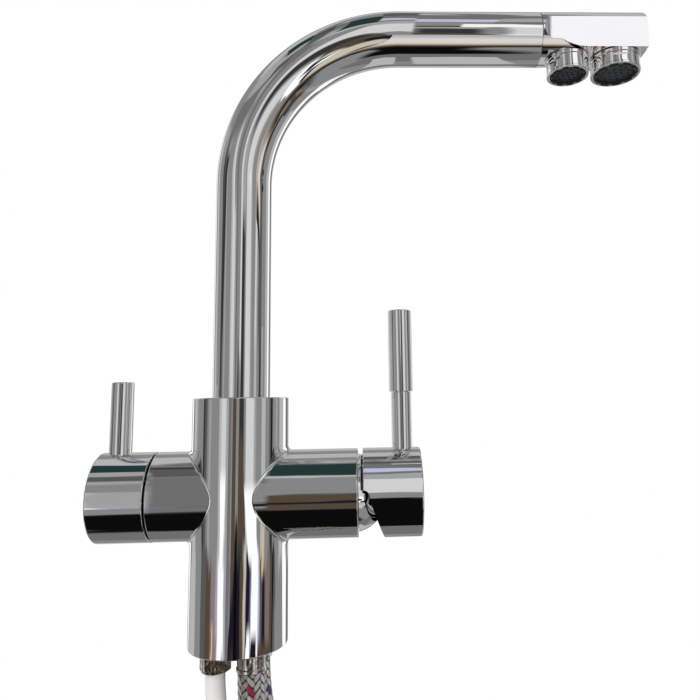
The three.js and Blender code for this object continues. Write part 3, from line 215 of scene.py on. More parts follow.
class StageSettings(bpy.types.PropertyGroup):
    """The floor and the light."""

    floor: colour("Floor", (0.93, 0.93, 0.93), "Colour of the floor")
    fill: share("Fill light", 0.85, "Strength of the plain light from all round")


# ---- Mesh helpers ----

CORNER_STEPS = 5


def rounded(outline, closed):
    """The outline with each corner that names a radius turned into an arc."""
    count = len(outline)
    line = []
    for i, corner in enumerate(outline):
        here = Vector(corner[:2])
        ease = corner[2] if len(corner) > 2 else 0.0
        if ease <= 0.0 or (not closed and i in (0, count - 1)):
            line.append(here)
            continue
        back = Vector(outline[i - 1][:2]) - here
        ahead = Vector(outline[(i + 1) % count][:2]) - here
        back_way, ahead_way = back.normalized(), ahead.normalized()
        half = back.angle(ahead) / 2
        reach, support = ease / tan(half), 0.3 * ease
        start, end = here + back_way * reach, here + ahead_way * reach
        middle = here + (back_way + ahead_way).normalized() * (ease / sin(half))
        if back.length > reach + 2 * support:
            line.append(start + back_way * support)
        arc_start = start - middle
        sweep = -arc_start.angle_signed(end - middle)
        for k in range(CORNER_STEPS + 1):
            line.append(middle + Matrix.Rotation(sweep * k / CORNER_STEPS, 2) @ arc_start)
        if ahead.length > reach + 2 * support:
            line.append(end + ahead_way * support)
    return line


def turned(outline, around, closed=True):
    """A bmesh turned about Z from an outline of (radius, height[, corner radius])."""
    bm = bmesh.new()
    verts = [bm.verts.new((max(p.x, 0.0), 0.0, p.y)) for p in rounded(outline, closed)]
    pairs = list(zip(verts, verts[1:]))
    if closed:
        pairs.append((verts[-1], verts[0]))
    edges = [bm.edges.new(pair) for pair in pairs if pair[0].co.x + pair[1].co.x > 1e-9]
    bmesh.ops.spin(
        bm, geom=verts + edges, cent=(0, 0, 0), axis=(0, 0, 1), angle=tau,
        steps=around, use_merge=True, use_duplicate=False,
    )
    bmesh.ops.remove_doubles(bm, verts=bm.verts, dist=WELD)
    bmesh.ops.dissolve_degenerate(bm, edges=bm.edges, dist=NOTHING)
    bmesh.ops.recalc_face_normals(bm, faces=bm.faces)
    return bm


def in_millimetres(*corners):
    """Corners that are given in millimetres, in metres."""
    return [tuple(number * MM for number in corner) for corner in corners]


def rod(radius, foot, top, around=48, edge=0.0):
    return turned([(0, foot), (radius, foot, edge), (radius, top, edge), (0, top)], around, False)


def of_kind(kind, geometry):
    return [part for part in geometry if isinstance(part, kind)]


def prism(outline, foot, top):
    """An outline of (x, y) corners raised from foot to top."""
    bm = bmesh.new()
    face = bm.faces.new([bm.verts.new((x, y, foot)) for x, y in outline])
    raised = of_kind(bmesh.types.BMVert, bmesh.ops.extrude_face_region(bm, geom=[face])["geom"])
    bmesh.ops.translate(bm, verts=raised, vec=(0, 0, top - foot))
    bmesh.ops.recalc_face_normals(bm, faces=bm.faces)
    return bm


def box(size, centre):
    bm = bmesh.new()
    place = Matrix.Translation(centre) @ Matrix.Diagonal((*size, 1))
    bmesh.ops.create_cube(bm, size=1.0, matrix=place)
    return bm


def patch(bm, across, along, place):
    """A grid whose corners are moved to place(u, v), with u and v from 0 to 1."""
    made = bmesh.ops.create_grid(bm, x_segments=across, y_segments=along, size=0.5)
    for vert in made["verts"]:
        vert.co = place(vert.co.x + 0.5, vert.co.y + 0.5)


def moved(bm, matrix):
    bmesh.ops.transform(bm, matrix=matrix, verts=bm.verts)
    return bm


def shifted(bm, x, y, z):
    return moved(bm, Matrix.Translation((x, y, z)))


def spun(bm, axis, angle):
    return moved(bm, Matrix.Rotation(angle, 4, axis))


def along_x(bm):
    return spun(bm, "Y", pi / 2)


def on_arm(bm, side, level):
    """Lays a shape turned about Z along an arm: side is 1 towards +X and -1 towards -X."""
    return shifted(spun(bm, "Y", side * pi / 2), 0, 0, level)


def along_y(bm):
    return spun(bm, "X", -pi / 2)


def absorb(bm, *others):
    """Adds the faces of the others to the first."""
    for other in others:
        carrier = bpy.data.meshes.new("carrier")
        other.to_mesh(carrier)
        other.free()
        bm.from_mesh(carrier)
        bpy.data.meshes.remove(carrier)


def new_object(name, bm):
    """Turns a bmesh into an object of the scene."""
    mesh = bpy.data.meshes.new(name)
    bm.to_mesh(mesh)
    bm.free()
    obj = bpy.data.objects.new(name, mesh)
    bpy.context.scene.collection.objects.link(obj)
    return obj


def combined(bm, operation, *tools):
    """Joins the tools to a closed shape, or cuts them out of it."""
    blank, *helpers = (new_object("blank", shape) for shape in (bm, *tools))
    for helper in helpers:
        step = blank.modifiers.new("step", "BOOLEAN")
        step.operation = operation
        step.solver = "EXACT"
        step.object = helper
    graph = bpy.context.evaluated_depsgraph_get()
    made = bpy.data.meshes.new_from_object(blank.evaluated_get(graph))
    if not made.polygons:
        raise RuntimeError("a cut left nothing of its piece")
    result = bmesh.new()
    result.from_mesh(made)
    for obj in [blank, *helpers]:
        mesh = obj.data
        bpy.data.objects.remove(obj)
        bpy.data.meshes.remove(mesh)
    bpy.data.meshes.remove(made)
    bmesh.ops.remove_doubles(result, verts=result.verts, dist=2e-7)
    bmesh.ops.dissolve_degenerate(result, edges=result.edges, dist=NOTHING)
    return result


def cut(bm, *tools):
    return combined(bm, "DIFFERENCE", *tools)


def joined(bm, *tools):
    return combined(bm, "UNION", *tools)


ON_SURFACE = 4e-6


def barrel(axis, origin, radius):
    """The rule that gives the true normal of a round surface, or None off it."""
    axis, origin = Vector(axis).normalized(), Vector(origin)

    def outward(point):
        offset = point - origin
        across = offset - axis * offset.dot(axis)
        return across.normalized() if abs(across.length - radius) <= ON_SURFACE else None

    return outward


def true_normals(mesh, surfaces):
    """Gives each corner on a round surface that surface's own normal."""
    normals = [Vector(n.vector) for n in mesh.corner_normals]
    for face in mesh.polygons:
        points = [mesh.vertices[i].co for i in face.vertices]
        for outward in surfaces:
            found = [outward(point) for point in points]
            if any(n is None for n in found):
                continue
            side = 1.0 if found[0].dot(face.normal) > 0 else -1.0
            if all(abs(n.dot(face.normal)) > 0.9 for n in found):
                for corner, n in zip(face.loop_indices, found):
                    normals[corner] = n * side
                break
    mesh.normals_split_custom_set(normals)


def piece(name, bm, body, slot, nodes, surfaces=(), crease=32.0, material=None):
    """Turns a bmesh into a finished object that stands for CAD nodes on a body."""
    obj = new_object(name, bm)
    mesh = obj.data
    mesh.shade_smooth()
    mesh.set_sharp_from_angle(angle=radians(crease))
    mesh.validate()
    if surfaces:
        true_normals(mesh, surfaces)
    mesh.materials.append(finish(material or slot))
    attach(obj, body)
    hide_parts(*nodes)
    return obj


# ---- Materials ----

FLOAT, VECTOR, COLOUR = "NodeSocketFloat", "NodeSocketVector", "NodeSocketColor"
PLAIN_WHITE = (1, 1, 1, 1)


def feed(tree, node, inputs):
    """Links or fills the inputs of a node."""
    for key, value in dict(inputs).items():
        socket = node.inputs[key]
        if isinstance(value, bpy.types.NodeSocket):
            tree.links.new(value, socket)
        else:
            socket.default_value = value


def put(tree, kind, inputs=(), **settings):
    """Adds a node, sets it up and links or fills its inputs."""
    made = tree.nodes.new(kind)
    for key, value in settings.items():
        setattr(made, key, value)
    feed(tree, made, inputs)
    return made


def maths(tree, operation, *values):
    return put(tree, "ShaderNodeMath", dict(enumerate(values)), operation=operation).outputs[0]


def plus(tree, first, second):
    return maths(tree, "ADD", first, second)


def minus(tree, first, second):
    return maths(tree, "SUBTRACT", first, second)


def times(tree, first, second):
    return maths(tree, "MULTIPLY", first, second)


def placed(tree, kind="Object"):
    """The point that is shaded, in the piece's own frame unless another kind is named."""
    return put(tree, "ShaderNodeTexCoord").outputs[kind]


def split(tree, vector):
    """The X, Y and Z of a vector."""
    return put(tree, "ShaderNodeSeparateXYZ", {"Vector": vector}).outputs


def spread(tree, value, low, high, to_low=0.0, to_high=1.0, kind="SMOOTHSTEP"):
    """The value taken from one range to another."""
    inputs = {
        "Value": value, "From Min": low, "From Max": high, "To Min": to_low, "To Max": to_high,
    }
    return put(tree, "ShaderNodeMapRange", inputs, interpolation_type=kind).outputs["Result"]


def noise(tree, vector, scale, detail=3.0, roughness=0.5):
    inputs = {"Vector": vector, "Scale": scale, "Detail": detail, "Roughness": roughness}
    return put(tree, "ShaderNodeTexNoise", inputs).outputs["Fac"]


def blended(tree, factor, first, second):
    made = put(tree, "ShaderNodeMix", {0: factor, 6: first, 7: second}, data_type="RGBA")
    return made.outputs[2]


def shaded(tree, tone, factor):
    """A colour times a factor."""
    made = put(tree, "ShaderNodeVectorMath", {0: tone, "Scale": factor}, operation="SCALE")
    return made.outputs["Vector"]


def bumped(tree, strength, distance, height):
    """The normal of a surface with a relief on it."""
    inputs = {"Strength": strength, "Distance": distance, "Height": height}
    return put(tree, "ShaderNodeBump", inputs).outputs["Normal"]


def new_group(name, inputs, outputs):
    group = bpy.data.node_groups.new(name, "ShaderNodeTree")
    for label, kind, default in inputs:
        socket = group.interface.new_socket(label, in_out="INPUT", socket_type=kind)
        socket.default_value = default
    for label, kind in outputs:
        group.interface.new_socket(label, in_out="OUTPUT", socket_type=kind)
    return group, group.nodes.new("NodeGroupInput"), group.nodes.new("NodeGroupOutput")


def make_polish_group():
    """Fine unevenness of a polished or plated surface, with wiped on marks."""
    group, source, sink = new_group(
        "polished_surface",
        (
            ("Roughness", FLOAT, 0.05), ("Marks", FLOAT, 0.04),
            ("Ripple", FLOAT, 0.02), ("Ripple Scale", FLOAT, 90.0),
        ),
        (("Roughness", FLOAT), ("Normal", VECTOR), ("Mask", FLOAT)),
    )
    given, place = source.outputs, placed(group)
    smear = spread(group, noise(group, place, 28.0, 4.0, 0.62), 0.5, 0.78)
    stretched = put(group, "ShaderNodeMapping", {"Vector": place, "Scale": (1.0, 1.0, 0.08)})
    wipe = spread(group, noise(group, stretched.outputs["Vector"], 1400.0, 2.0), 0.56, 0.8)
    mask = times(group, smear, plus(group, 0.4, wipe))
    ripple = noise(group, place, given["Ripple Scale"], 2.0)
    feed(group, sink, {
        "Roughness": plus(group, times(group, mask, given["Marks"]), given["Roughness"]),
        "Normal": bumped(group, given["Ripple"], 0.0004, ripple),
        "Mask": mask,
    })


def make_turning_group():
    """The fine rings that a lathe leaves, round the piece's own axis direction."""
    group, source, sink = new_group(
        "turning_rings",
        (("Axis", VECTOR, (0.0, 0.0, 1.0)), ("Pitch", FLOAT, 0.0003), ("Depth", FLOAT, 0.15)),
        (("Normal", VECTOR), ("Mask", FLOAT)),
    )
    given, place = source.outputs, placed(group)
    dot = put(group, "ShaderNodeVectorMath", {0: place, 1: given["Axis"]}, operation="DOT_PRODUCT")
    turns = maths(group, "DIVIDE", dot.outputs["Value"], given["Pitch"])
    waver = times(group, noise(group, place, 300.0), 0.6)
    wave = maths(group, "SINE", times(group, plus(group, turns, waver), tau))
    feed(group, sink, {
        "Normal": bumped(group, given["Depth"], 0.0001, wave),
        "Mask": spread(group, wave, -1.0, 1.0),
    })


def make_moulding_group():
    """The fine grain and slight mottle of moulded plastic or rubber."""
    group, source, sink = new_group(
        "moulded_grain",
        (("Colour", COLOUR, (0.5, 0.5, 0.5, 1)), ("Grain", FLOAT, 0.1), ("Mottle", FLOAT, 0.08)),
        (("Colour", COLOUR), ("Roughness", FLOAT), ("Normal", VECTOR)),
    )
    given, place = source.outputs, placed(group)
    mottle = noise(group, place, 180.0, 4.0)
    dark = minus(group, 1.0, times(group, mottle, given["Mottle"]))
    feed(group, sink, {
        "Colour": shaded(group, given["Colour"], dark),
        "Roughness": spread(group, mottle, 0.2, 0.8, 0.38, 0.55),
        "Normal": bumped(group, given["Grain"], 0.00005, noise(group, place, 2600.0, 2.0)),
    })


def new_material(name):
    material = bpy.data.materials.new(f"{name}_finish")
    material.use_nodes = True
    tree = material.node_tree
    return tree, tree.nodes["Principled BSDF"]


def finish(name):
    return bpy.data.materials[f"{name}_finish"]


def use_group(tree, name, **values):
    """Adds a group and gives the outputs of its node."""
    inputs = {key.replace("_", " "): value for key, value in values.items()}
    return put(tree, "ShaderNodeGroup", inputs, node_tree=bpy.data.node_groups[name]).outputs


def metal(tree, shader, base, tint, mask, roughness, normal):
    """Sets up a metal whose colour is tinted where its mask is set."""
    worn = tuple(channel * shade for channel, shade in zip(base, tint))
    feed(tree, shader, {
        "Base Color": blended(tree, mask, (*base, 1), (*worn, 1)),
        "Metallic": 1.0, "Roughness": roughness, "Normal": normal,
    })


def polished(name, base, roughness, marks, ripple, tint, ripple_scale=90.0):
    """A plated or polished metal: darker and duller in its wiped on marks."""
    tree, shader = new_material(name)
    surface = use_group(
        tree, "polished_surface",
        Roughness=roughness, Marks=marks, Ripple=ripple, Ripple_Scale=ripple_scale,
    )
    metal(tree, shader, base, tint, surface["Mask"], surface["Roughness"], surface["Normal"])


def machined(name, base, pitch, depth):
    """A turned metal with its tool marks."""
    tree, shader = new_material(name)
    rings = use_group(tree, "turning_rings", Pitch=pitch, Depth=depth)
    wear = use_group(tree, "polished_surface", Roughness=0.22, Marks=0.2, Ripple=0.0)
    metal(tree, shader, base, (0.72,) * 3, rings["Mask"], wear["Roughness"], rings["Normal"])


def moulded(name, base, grain, mottle, soft=0.0, gloss=0.5):
    """A plastic, rubber or ceramic."""
    tree, shader = new_material(name)
    surface = use_group(tree, "moulded_grain", Colour=(*base, 1), Grain=grain, Mottle=mottle)
    feed(tree, shader, {
        "Base Color": surface["Colour"], "Roughness": surface["Roughness"],
        "Normal": surface["Normal"], "Specular IOR Level": gloss,
        "Subsurface Weight": soft, "Subsurface Scale": 0.002,
    })


STRAND_WIRES = 7
TRACER_STRAND = 4.0
# How many strand pitches go into a length of hose equal to the girth of its braid.
BRAID_STEEPNESS = 10.0


def make_braid_group():
    """Strands over two and under two, each of several wires, from a hose's UV map, with painted
    shade in the weave.
    """
    group, source, sink = new_group(
        "braid_weave",
        (("Strands", FLOAT, 12.0), ("Twist", FLOAT, 70.0), ("Tracer", FLOAT, 4.0)),
        (("Normal", VECTOR), ("Painted Shade", FLOAT), ("Tracer", FLOAT), ("Roughness", FLOAT)),
    )
    given = source.outputs
    u, v, _ = split(group, placed(group, "UV"))
    round_it, down_it = times(group, u, given["Strands"]), times(group, v, given["Twist"])
    first, second = plus(group, round_it, down_it), minus(group, round_it, down_it)
    levels, sections = [], []
    for own, other, sign in ((first, second, 1.0), (second, first, -1.0)):
        number = maths(group, "FLOOR", own)
        phase = minus(group, plus(group, other, number), 1.0)
        lift = maths(group, "COSINE", times(group, phase, pi / 2))
        across = minus(group, own, number)
        away = maths(group, "ABSOLUTE", minus(group, across, 0.5))
        crown = minus(group, 1.0, maths(group, "POWER", times(group, away, 2.0), 4.0))
        levels.append(plus(group, times(group, lift, 0.5 * sign), crown))
        sections.append(across)
    on_top, height = (maths(group, rule, *levels) for rule in ("GREATER_THAN", "MAXIMUM"))
    upper = times(group, sections[0], on_top)
    across = plus(group, upper, times(group, sections[1], minus(group, 1.0, on_top)))
    wave = maths(group, "SINE", times(group, across, STRAND_WIRES * pi))
    wires = maths(group, "ABSOLUTE", wave)
    wrapped = maths(group, "FLOORED_MODULO", maths(group, "FLOOR", first), given["Strands"])
    same = maths(group, "COMPARE", wrapped, given["Tracer"], 0.1)
    # Painted highlight and shade: each wire is brighter along its crest and half as bright between
    # wires, and the colour falls to near black where a strand sinks under the one over it.
    lit = spread(group, wires, 0.0, 0.5, 0.5, 1.0)
    feed(group, sink, {
        "Normal": bumped(group, 0.9, 0.0001, wires),
        "Painted Shade": times(group, spread(group, height, 0.7, 1.3, 0.03, 1.0), lit),
        "Tracer": times(group, same, on_top),
        "Roughness": spread(group, wires, 0.0, 1.0, 0.4, 0.16),
    })


def braided(name, wire, tracer, strands, twist):
    """A steel braid with one coloured strand, its colour darkened by painted shade in the weave.
    """
    tree, shader = new_material(name)
    weave = use_group(tree, "braid_weave", Strands=strands, Twist=twist, Tracer=TRACER_STRAND)
    # Painted shade: the wire's colour is multiplied by the weave's painted shade.
    steel = shaded(tree, wire, weave["Painted Shade"])
    feed(tree, shader, {
        "Base Color": blended(tree, weave["Tracer"], steel, (*tracer, 1)),
        "Metallic": times(tree, minus(tree, 1.0, weave["Tracer"]), 0.92),
        "Roughness": weave["Roughness"], "Normal": weave["Normal"],
    })


def hose_twist(route, radius):
    """Strand pitches along the whole hose."""
    return route_length(route) / (2 * pi * radius) * BRAID_STEEPNESS


class TAP_OT_finishes(bpy.types.Operator):
    """Makes the procedural finishes and gives the inner CAD nodes theirs"""

    bl_idname = "tap.finishes"
    bl_label = "Finishes"

    def execute(self, context):
        looks = context.scene.tap_finishes
        pipes = context.scene.tap_pipes
        make_polish_group()
        make_turning_group()
        make_moulding_group()
        make_braid_group()
        polished("chrome", looks.chrome, 0.005, 0.02, 0.02, (0.95, 0.95, 0.96))
        polished("dark_nickel", looks.nickel, 0.1, 0.12, 1.0, (0.4, 0.32, 0.22), 420.0)
        polished("steel", looks.steel, 0.12, 0.1, 0.3, (0.7, 0.68, 0.64), 600.0)
        machined("brass", looks.brass, 0.00035, 0.2)
        moulded("ceramic", looks.ceramic, 0.04, 0.04)
        moulded("rubber", looks.rubber, 0.3, 0.3)
        moulded("black_plastic", looks.black_plastic, 0.15, 0.2, gloss=0.2)
        moulded("grey_plastic", looks.grey_plastic, 0.12, 0.12)
        moulded("white_plastic", looks.white_plastic, 0.08, 0.05)
        moulded("white_tube", looks.white_tube, 0.05, 0.06, 0.25)
        tracers = {"hot": looks.hot_tracer, "cold": looks.cold_tracer}
        for name, route in HOSE_ROUTES.items():
            twist = hose_twist(route, pipes.hose_radius)
            braided(f"{name}_braid", looks.wire, tracers[name], pipes.carriers, twist)
        for row in frame["record"]["subparts"]:
            node = frame["nodes"][row["node"]]
            slot = "hot_braid" if row["material_slot"] == "braid" else row["material_slot"]
            for holder in node.material_slots:
                holder.material = finish(slot)
        return {"FINISHED"}


# ---- Camera, light and floor ----

# The camera fitted to the photograph: pixels, millimetres, and radians about X, Y and Z.
FOCAL_PIXELS, IMAGE_SIDE, SENSOR = 637.377, 700.0, 36.0
VIEW_CENTRE = (386.770, 320.553)
CAMERA_PLACE = (63.331, -333.023, 112.167)
CAMERA_TURNS = (0.13735, 0.01772, -0.03675)


class TAP_OT_camera(bpy.types.Operator):
    """Sets the camera at the photograph's viewing angle"""

    bl_idname = "tap.camera"
    bl_label = "Camera"

    def execute(self, context):
        data = bpy.data.cameras.new("camera")
        data.sensor_width = SENSOR
        data.lens = FOCAL_PIXELS / IMAGE_SIDE * SENSOR
        data.shift_x = (IMAGE_SIDE / 2 - VIEW_CENTRE[0]) / IMAGE_SIDE
        data.shift_y = (VIEW_CENTRE[1] - IMAGE_SIDE / 2) / IMAGE_SIDE
        data.clip_start = 0.01
        data.dof.use_dof = False
        obj = bpy.data.objects.new("camera", data)
        context.scene.collection.objects.link(obj)
        tilt, roll, swing = CAMERA_TURNS
        turned_by = Matrix.Rotation(swing, 4, "Z") @ Matrix.Rotation(tilt, 4, "X")
        turned_by = turned_by @ Matrix.Rotation(roll, 4, "Y") @ Matrix.Rotation(pi / 2, 4, "X")
        place = Matrix.Translation([MM * x for x in CAMERA_PLACE])
        obj.matrix_world = place @ turned_by
        context.scene.camera = obj
        return {"FINISHED"}


# Soft lamps, in metres and watts: name, place, side, power.
LAMPS = (
    ("key_light", (-1.2, -1.6, 1.7), 1.6, 22.0),
    ("side_light", (1.9, -0.9, 1.0), 1.4, 9.0),
    ("back_light", (0.3, 1.8, 1.6), 1.6, 9.0),
)
LAMPS_AIM = (0.05, 0.0, 0.12)
FLOOR_HALF_SIDE = 6.0
FLOOR_FADE = (0.5, 1.1)


class TAP_OT_stage(bpy.types.Operator):
    """Lays the floor and sets the soft studio light"""

    bl_idname = "tap.stage"
    bl_label = "Stage"

    def execute(self, context):
        settings = context.scene.tap_stage
        scene = context.scene
        scene.view_settings.view_transform = "Standard"
        lay_floor(settings)
        light_world(scene, settings)
        hang_spout_card()
        for lamp in LAMPS:
            hang_lamp(*lamp)
        return {"FINISHED"}


def lay_floor(settings):
    """A level floor that fades into the white background away from the tap."""
    bm = bmesh.new()
    bmesh.ops.create_grid(bm, x_segments=2, y_segments=2, size=FLOOR_HALF_SIDE)
    floor = new_object("floor", shifted(bm, 0, 0, CAD_BOX[0][2]))
    tree, shader = new_material("floor")
    place = placed(tree)
    tint = plus(tree, 0.985, times(tree, noise(tree, place, 500.0, 2.0), 0.03))
    feed(tree, shader, {"Base Color": shaded(tree, settings.floor, tint), "Roughness": 0.8})
    white = put(tree, "ShaderNodeEmission", {"Color": PLAIN_WHITE, "Strength": 1.0})
    reach = put(tree, "ShaderNodeVectorMath", {0: place}, operation="LENGTH").outputs["Value"]
    seen = put(tree, "ShaderNodeLightPath").outputs["Is Camera Ray"]
    mixed = put(tree, "ShaderNodeMixShader", {
        0: times(tree, spread(tree, reach, *FLOOR_FADE), seen),
        1: shader.outputs["BSDF"], 2: white.outputs["Emission"],
    })
    feed(tree, tree.nodes["Material Output"], {"Surface": mixed.outputs["Shader"]})
    floor.data.materials.append(finish("floor"))
    floor.visible_glossy = False


def hang_lamp(name, place, side, power):
    """A soft square lamp that aims at the tap and isn't seen in reflections."""
    data = bpy.data.lights.new(name, "AREA")
    data.size = side
    data.energy = power
    lamp = bpy.data.objects.new(name, data)
    bpy.context.scene.collection.objects.link(lamp)
    lamp.location = place
    aim = Vector(LAMPS_AIM) - Vector(place)
    lamp.rotation_euler = aim.to_track_quat("-Z", "Y").to_euler()
    lamp.visible_glossy = False
    lamp.visible_camera = False


def toned(tone):
    """The colour of a tone that is given as a grey or as red, green and blue."""
    return (*((tone,) * 3 if isinstance(tone, float) else tone), 1)


def bands(tree, factor, rows, low, high, ease=1.2):
    """Bands of even tone along a range, each from its own place to the next, softly joined."""
    stops = [(low, rows[0][1])]
    for (_, before), (at, tone) in zip(rows, rows[1:]):
        stops += [(at - ease, before), (at + ease, tone)]
    return ramp(tree, factor, stops, low, high)


def ramp(tree, factor, stops, low, high):
    """Colours along a range: each stop is a place in it and a colour or a grey."""
    made = put(tree, "ShaderNodeValToRGB", {
        "Fac": spread(tree, factor, low, high, kind="LINEAR"),
    })
    elements = made.color_ramp.elements
    while len(elements) > 1:
        elements.remove(elements[-1])
    for i, (at, value) in enumerate(stops):
        element = elements[0] if i == 0 else elements.new((at - low) / (high - low))
        element.color = toned(value)
    return made.outputs["Color"]


# The studio that chrome reflects. Azimuth 0 is the camera's side and 90 is +X, in degrees.
# Its walls, flags and soft boxes stand round the tap as bands, each from its own azimuth or
# elevation to the next one's, and each has one of these few tones.
BLACK, DARK, DIM, DUSK, MID, SOFT, PALE, BRIGHT, WHITE = (
    0.004, 0.04, 0.11, 0.18, 0.27, 0.4, 0.52, 0.72, 1.15,
)
NIGHT, UMBER, FAWN = (0.014, 0.011, 0.022), (0.1, 0.07, 0.05), (0.22, 0.17, 0.15)
ROSE, MAUVE, VIOLET = (0.3, 0.22, 0.22), (0.43, 0.4, 0.49), (0.16, 0.14, 0.28)
MIST, CREAM, TEAL = (0.56, 0.6, 0.8), (0.64, 0.59, 0.48), (0.02, 0.045, 0.04)
AMBER, GLOW = (0.75, 0.54, 0.3), (1.06, 1.04, 1.07)
FRONT_RISE = (
    (-90, BLACK), (-35, DARK), (-31, DIM), (-25, MID), (32, DUSK), (46, SOFT), (62, DUSK),
    (82, DARK),
)
BACK_RISE = (
    (-90, DUSK), (-50, MID), (-30, PALE), (30, SOFT), (36, MID), (53, PALE), (72, DUSK),
    (79, PALE), (86, DUSK),
)
LEVEL_LEFT = (
    (-180, PALE), (-155, DUSK), (-149, WHITE), (-136, DUSK), (-128, PALE), (-110, MID),
    (-87, DARK), (-81, DIM), (-74, MID), (-68, SOFT), (-63, MID), (-41, PALE), (-35, BRIGHT),
    (-24, SOFT), (-16, MID), (-7, DIM),
)
LEVEL_RIGHT = (
    (0, DIM), (3, MID), (6, DARK), (17, MID), (22, BRIGHT), (41, SOFT), (46, MID), (60, PALE),
    (70, MID), (81, DIM), (86, BLACK), (91, MID), (115, PALE), (132, WHITE), (146, DUSK),
    (163, PALE),
)
LOW_LEFT = (
    (-180, PALE), (-155, DUSK), (-149, WHITE), (-138, SOFT), (-130, PALE), (-107, MID),
    (-84, DIM), (-69, UMBER), (-54, ROSE), (-43, MAUVE), (-38, WHITE), (-24, MAUVE), (-16, MID),
    (-10, DIM), (-5, NIGHT),
)
LOW_RIGHT = (
    (0, NIGHT), (13, UMBER), (22, CREAM), (25.5, NIGHT), (33, VIOLET), (38, WHITE), (53, MIST),
    (58, DIM), (65, NIGHT), (73, FAWN), (85, UMBER), (92, BLACK), (96, DIM), (101, MID),
    (134, WHITE), (152, DUSK),
)
# Where one kind of band gives way to the next, in degrees: low ones to level ones, both to the
# worktop and to the roof, and the front to the back.
LOW_EDGE, WORKTOP_EDGE = (-12.8, -11.2), (-34.0, -24.0)
ROOF_EDGE, SIDE_EDGE = (26.0, 38.0), (80.0, 100.0)
# Edges waver, as in hand polished chrome: the noise's scale, and how far it moves azimuths, from
# one elevation to another, the pitch of level cards and the low bands' edge, in degrees.
WAVER_SCALE, WAVER_RANGE, AZIMUTH_WAVER = 7.0, (-18.0, -5.0), (14.0, 1.0)
PITCH_WAVER, LOW_WAVER = 9.0, 7.0
# The smaller cards, and the two patches of worktop at the sides: azimuth, half width,
# elevation, half height, softness each way, lean, taper.
CARDS = (
    ((68, 34, -49, 15, 4, 5, 0, 0), MID),
    ((-90, 25, -49, 14, 4, 5, 0, 0), SOFT),
    ((9, 10, -6.5, 4.5, 0.8, 1, 0, -1.2), UMBER),
    ((-30, 5, -9.5, 4, 1.2, 1.2, 0, 0.4), WHITE),
    ((37, 12, -9.5, 3, 0.8, 0.8, -1, 1), WHITE),
    ((67, 2.5, -10.5, 3, 0.5, 0.8, 0.8, -0.3), AMBER),
    ((-52, 2, -19.5, 2.5, 0.5, 0.7, 0.5, 0.2), AMBER),
    ((-45, 4.5, -20, 2, 0.6, 0.7, 0.5, 0.2), ROSE),
    ((-9, 8.5, -20, 3, 0.6, 0.8, 1.2, -1), NIGHT),
    ((31, 4.5, -20, 2.5, 0.6, 0.7, 0.6, -0.8), WHITE),
    ((43, 7, -20.5, 2.5, 0.6, 0.7, 1, -0.8), NIGHT),
    ((70, 19, -20.5, 2, 0.8, 0.8, 0, -2), UMBER),
    ((-74, 5.5, 17, 10.5, 0.8, 2, 0.6, 0), DARK),
    ((65, 3, 15, 9, 0.8, 2, 0.3, 0), BRIGHT),
    ((85, 7, 15, 9, 1, 2, 0.3, 0), DIM),
    ((29, 20, -30.5, 8, 3, 2, 0.2, 0.4), CREAM),
)
# Cards for what lies level: the angle to the side and half the width of a row of them, then
# the angle round the X axis, half the height and the tone of each.
LEVEL_CARDS = {
    (10, 7.5): ((20, 4, SOFT), (37, 8, MID), (55, 6, MIST), (76, 12, DUSK)),
    (12, 6.5): ((-127, 22, PALE),),
    (24, 11): ((31, 6.5, GLOW),),
    (-22, 4): (
        (83, 12, TEAL), (66, 5, SOFT), (54, 7, DIM), (43, 3.5, SOFT), (30, 10, MID), (-29, 7, MID),
    ),
    (-15, 3): ((81, 4, DARK), (67, 10, DIM), (48, 9, DUSK), (9, 31, DUSK), (-27, 5, DUSK)),
    (-4.5, 4): (
        (98, 12, MID), (68, 17, TEAL), (48.5, 2.5, PALE), (26, 20, MID), (-6, 9, UMBER),
        (-19, 4, NIGHT), (-27, 7, UMBER),
    ),
    (2.5, 3): (
        (97, 12, DIM), (68, 16, DUSK), (63, 5, MIST), (45, 6, SOFT), (21, 18, BRIGHT),
        (-3, 7, MID), (-26, 16, BLACK),
    ),
}
# Softness each way, lean and taper of every level card.
LEVEL_CARD_EDGES = (0.4, 1.8, 0, 0)
# The card close in front of the spout, in metres, and its own fade from dark to light.
SPOUT_CARD_SIDES = (0.084, 0.25)
SPOUT_CARD_ENDS = (0.236, 0.306)
SPOUT_CARD_PLANE = -0.05
SPOUT_CARD_FADE = (
    (0.236, 0.01), (0.247, 0.02), (0.252, (0.1, 0.08, 0.06)), (0.258, (0.22, 0.17, 0.13)),
    (0.264, (0.5, 0.38, 0.27)), (0.272, (0.78, 0.7, 0.63)), (0.29, (0.8, 0.76, 0.74)),
    (0.302, 0.5),
)


def make_card_group():
    """How much of a studio card lies in a direction: it can lean and taper as it rises."""
    labels = (
        "Azimuth", "Elevation", "Centre", "Half Width", "Middle", "Half Height",
        "Soft Width", "Soft Height", "Lean", "Taper",
    )
    group, source, sink = new_group(
        "studio_card", [(label, FLOAT, 0.0) for label in labels], (("Mask", FLOAT),),
    )
    azimuth, elevation, centre, width, middle, height, soft_width, soft_height, lean, taper = (
        source.outputs[label] for label in labels
    )
    rise = minus(group, elevation, middle)
    centre = plus(group, centre, times(group, lean, rise))
    width = plus(group, width, times(group, taper, rise))
    masks = []
    for value, middle, reach, ease in (
        (azimuth, centre, width, soft_width), (rise, 0.0, height, soft_height),
    ):
        away = maths(group, "ABSOLUTE", minus(group, value, middle))
        inner, outer = minus(group, reach, ease), plus(group, reach, ease)
        masks.append(spread(group, away, inner, outer, 1.0, 0.0))
    feed(group, sink, {"Mask": times(group, *masks)})


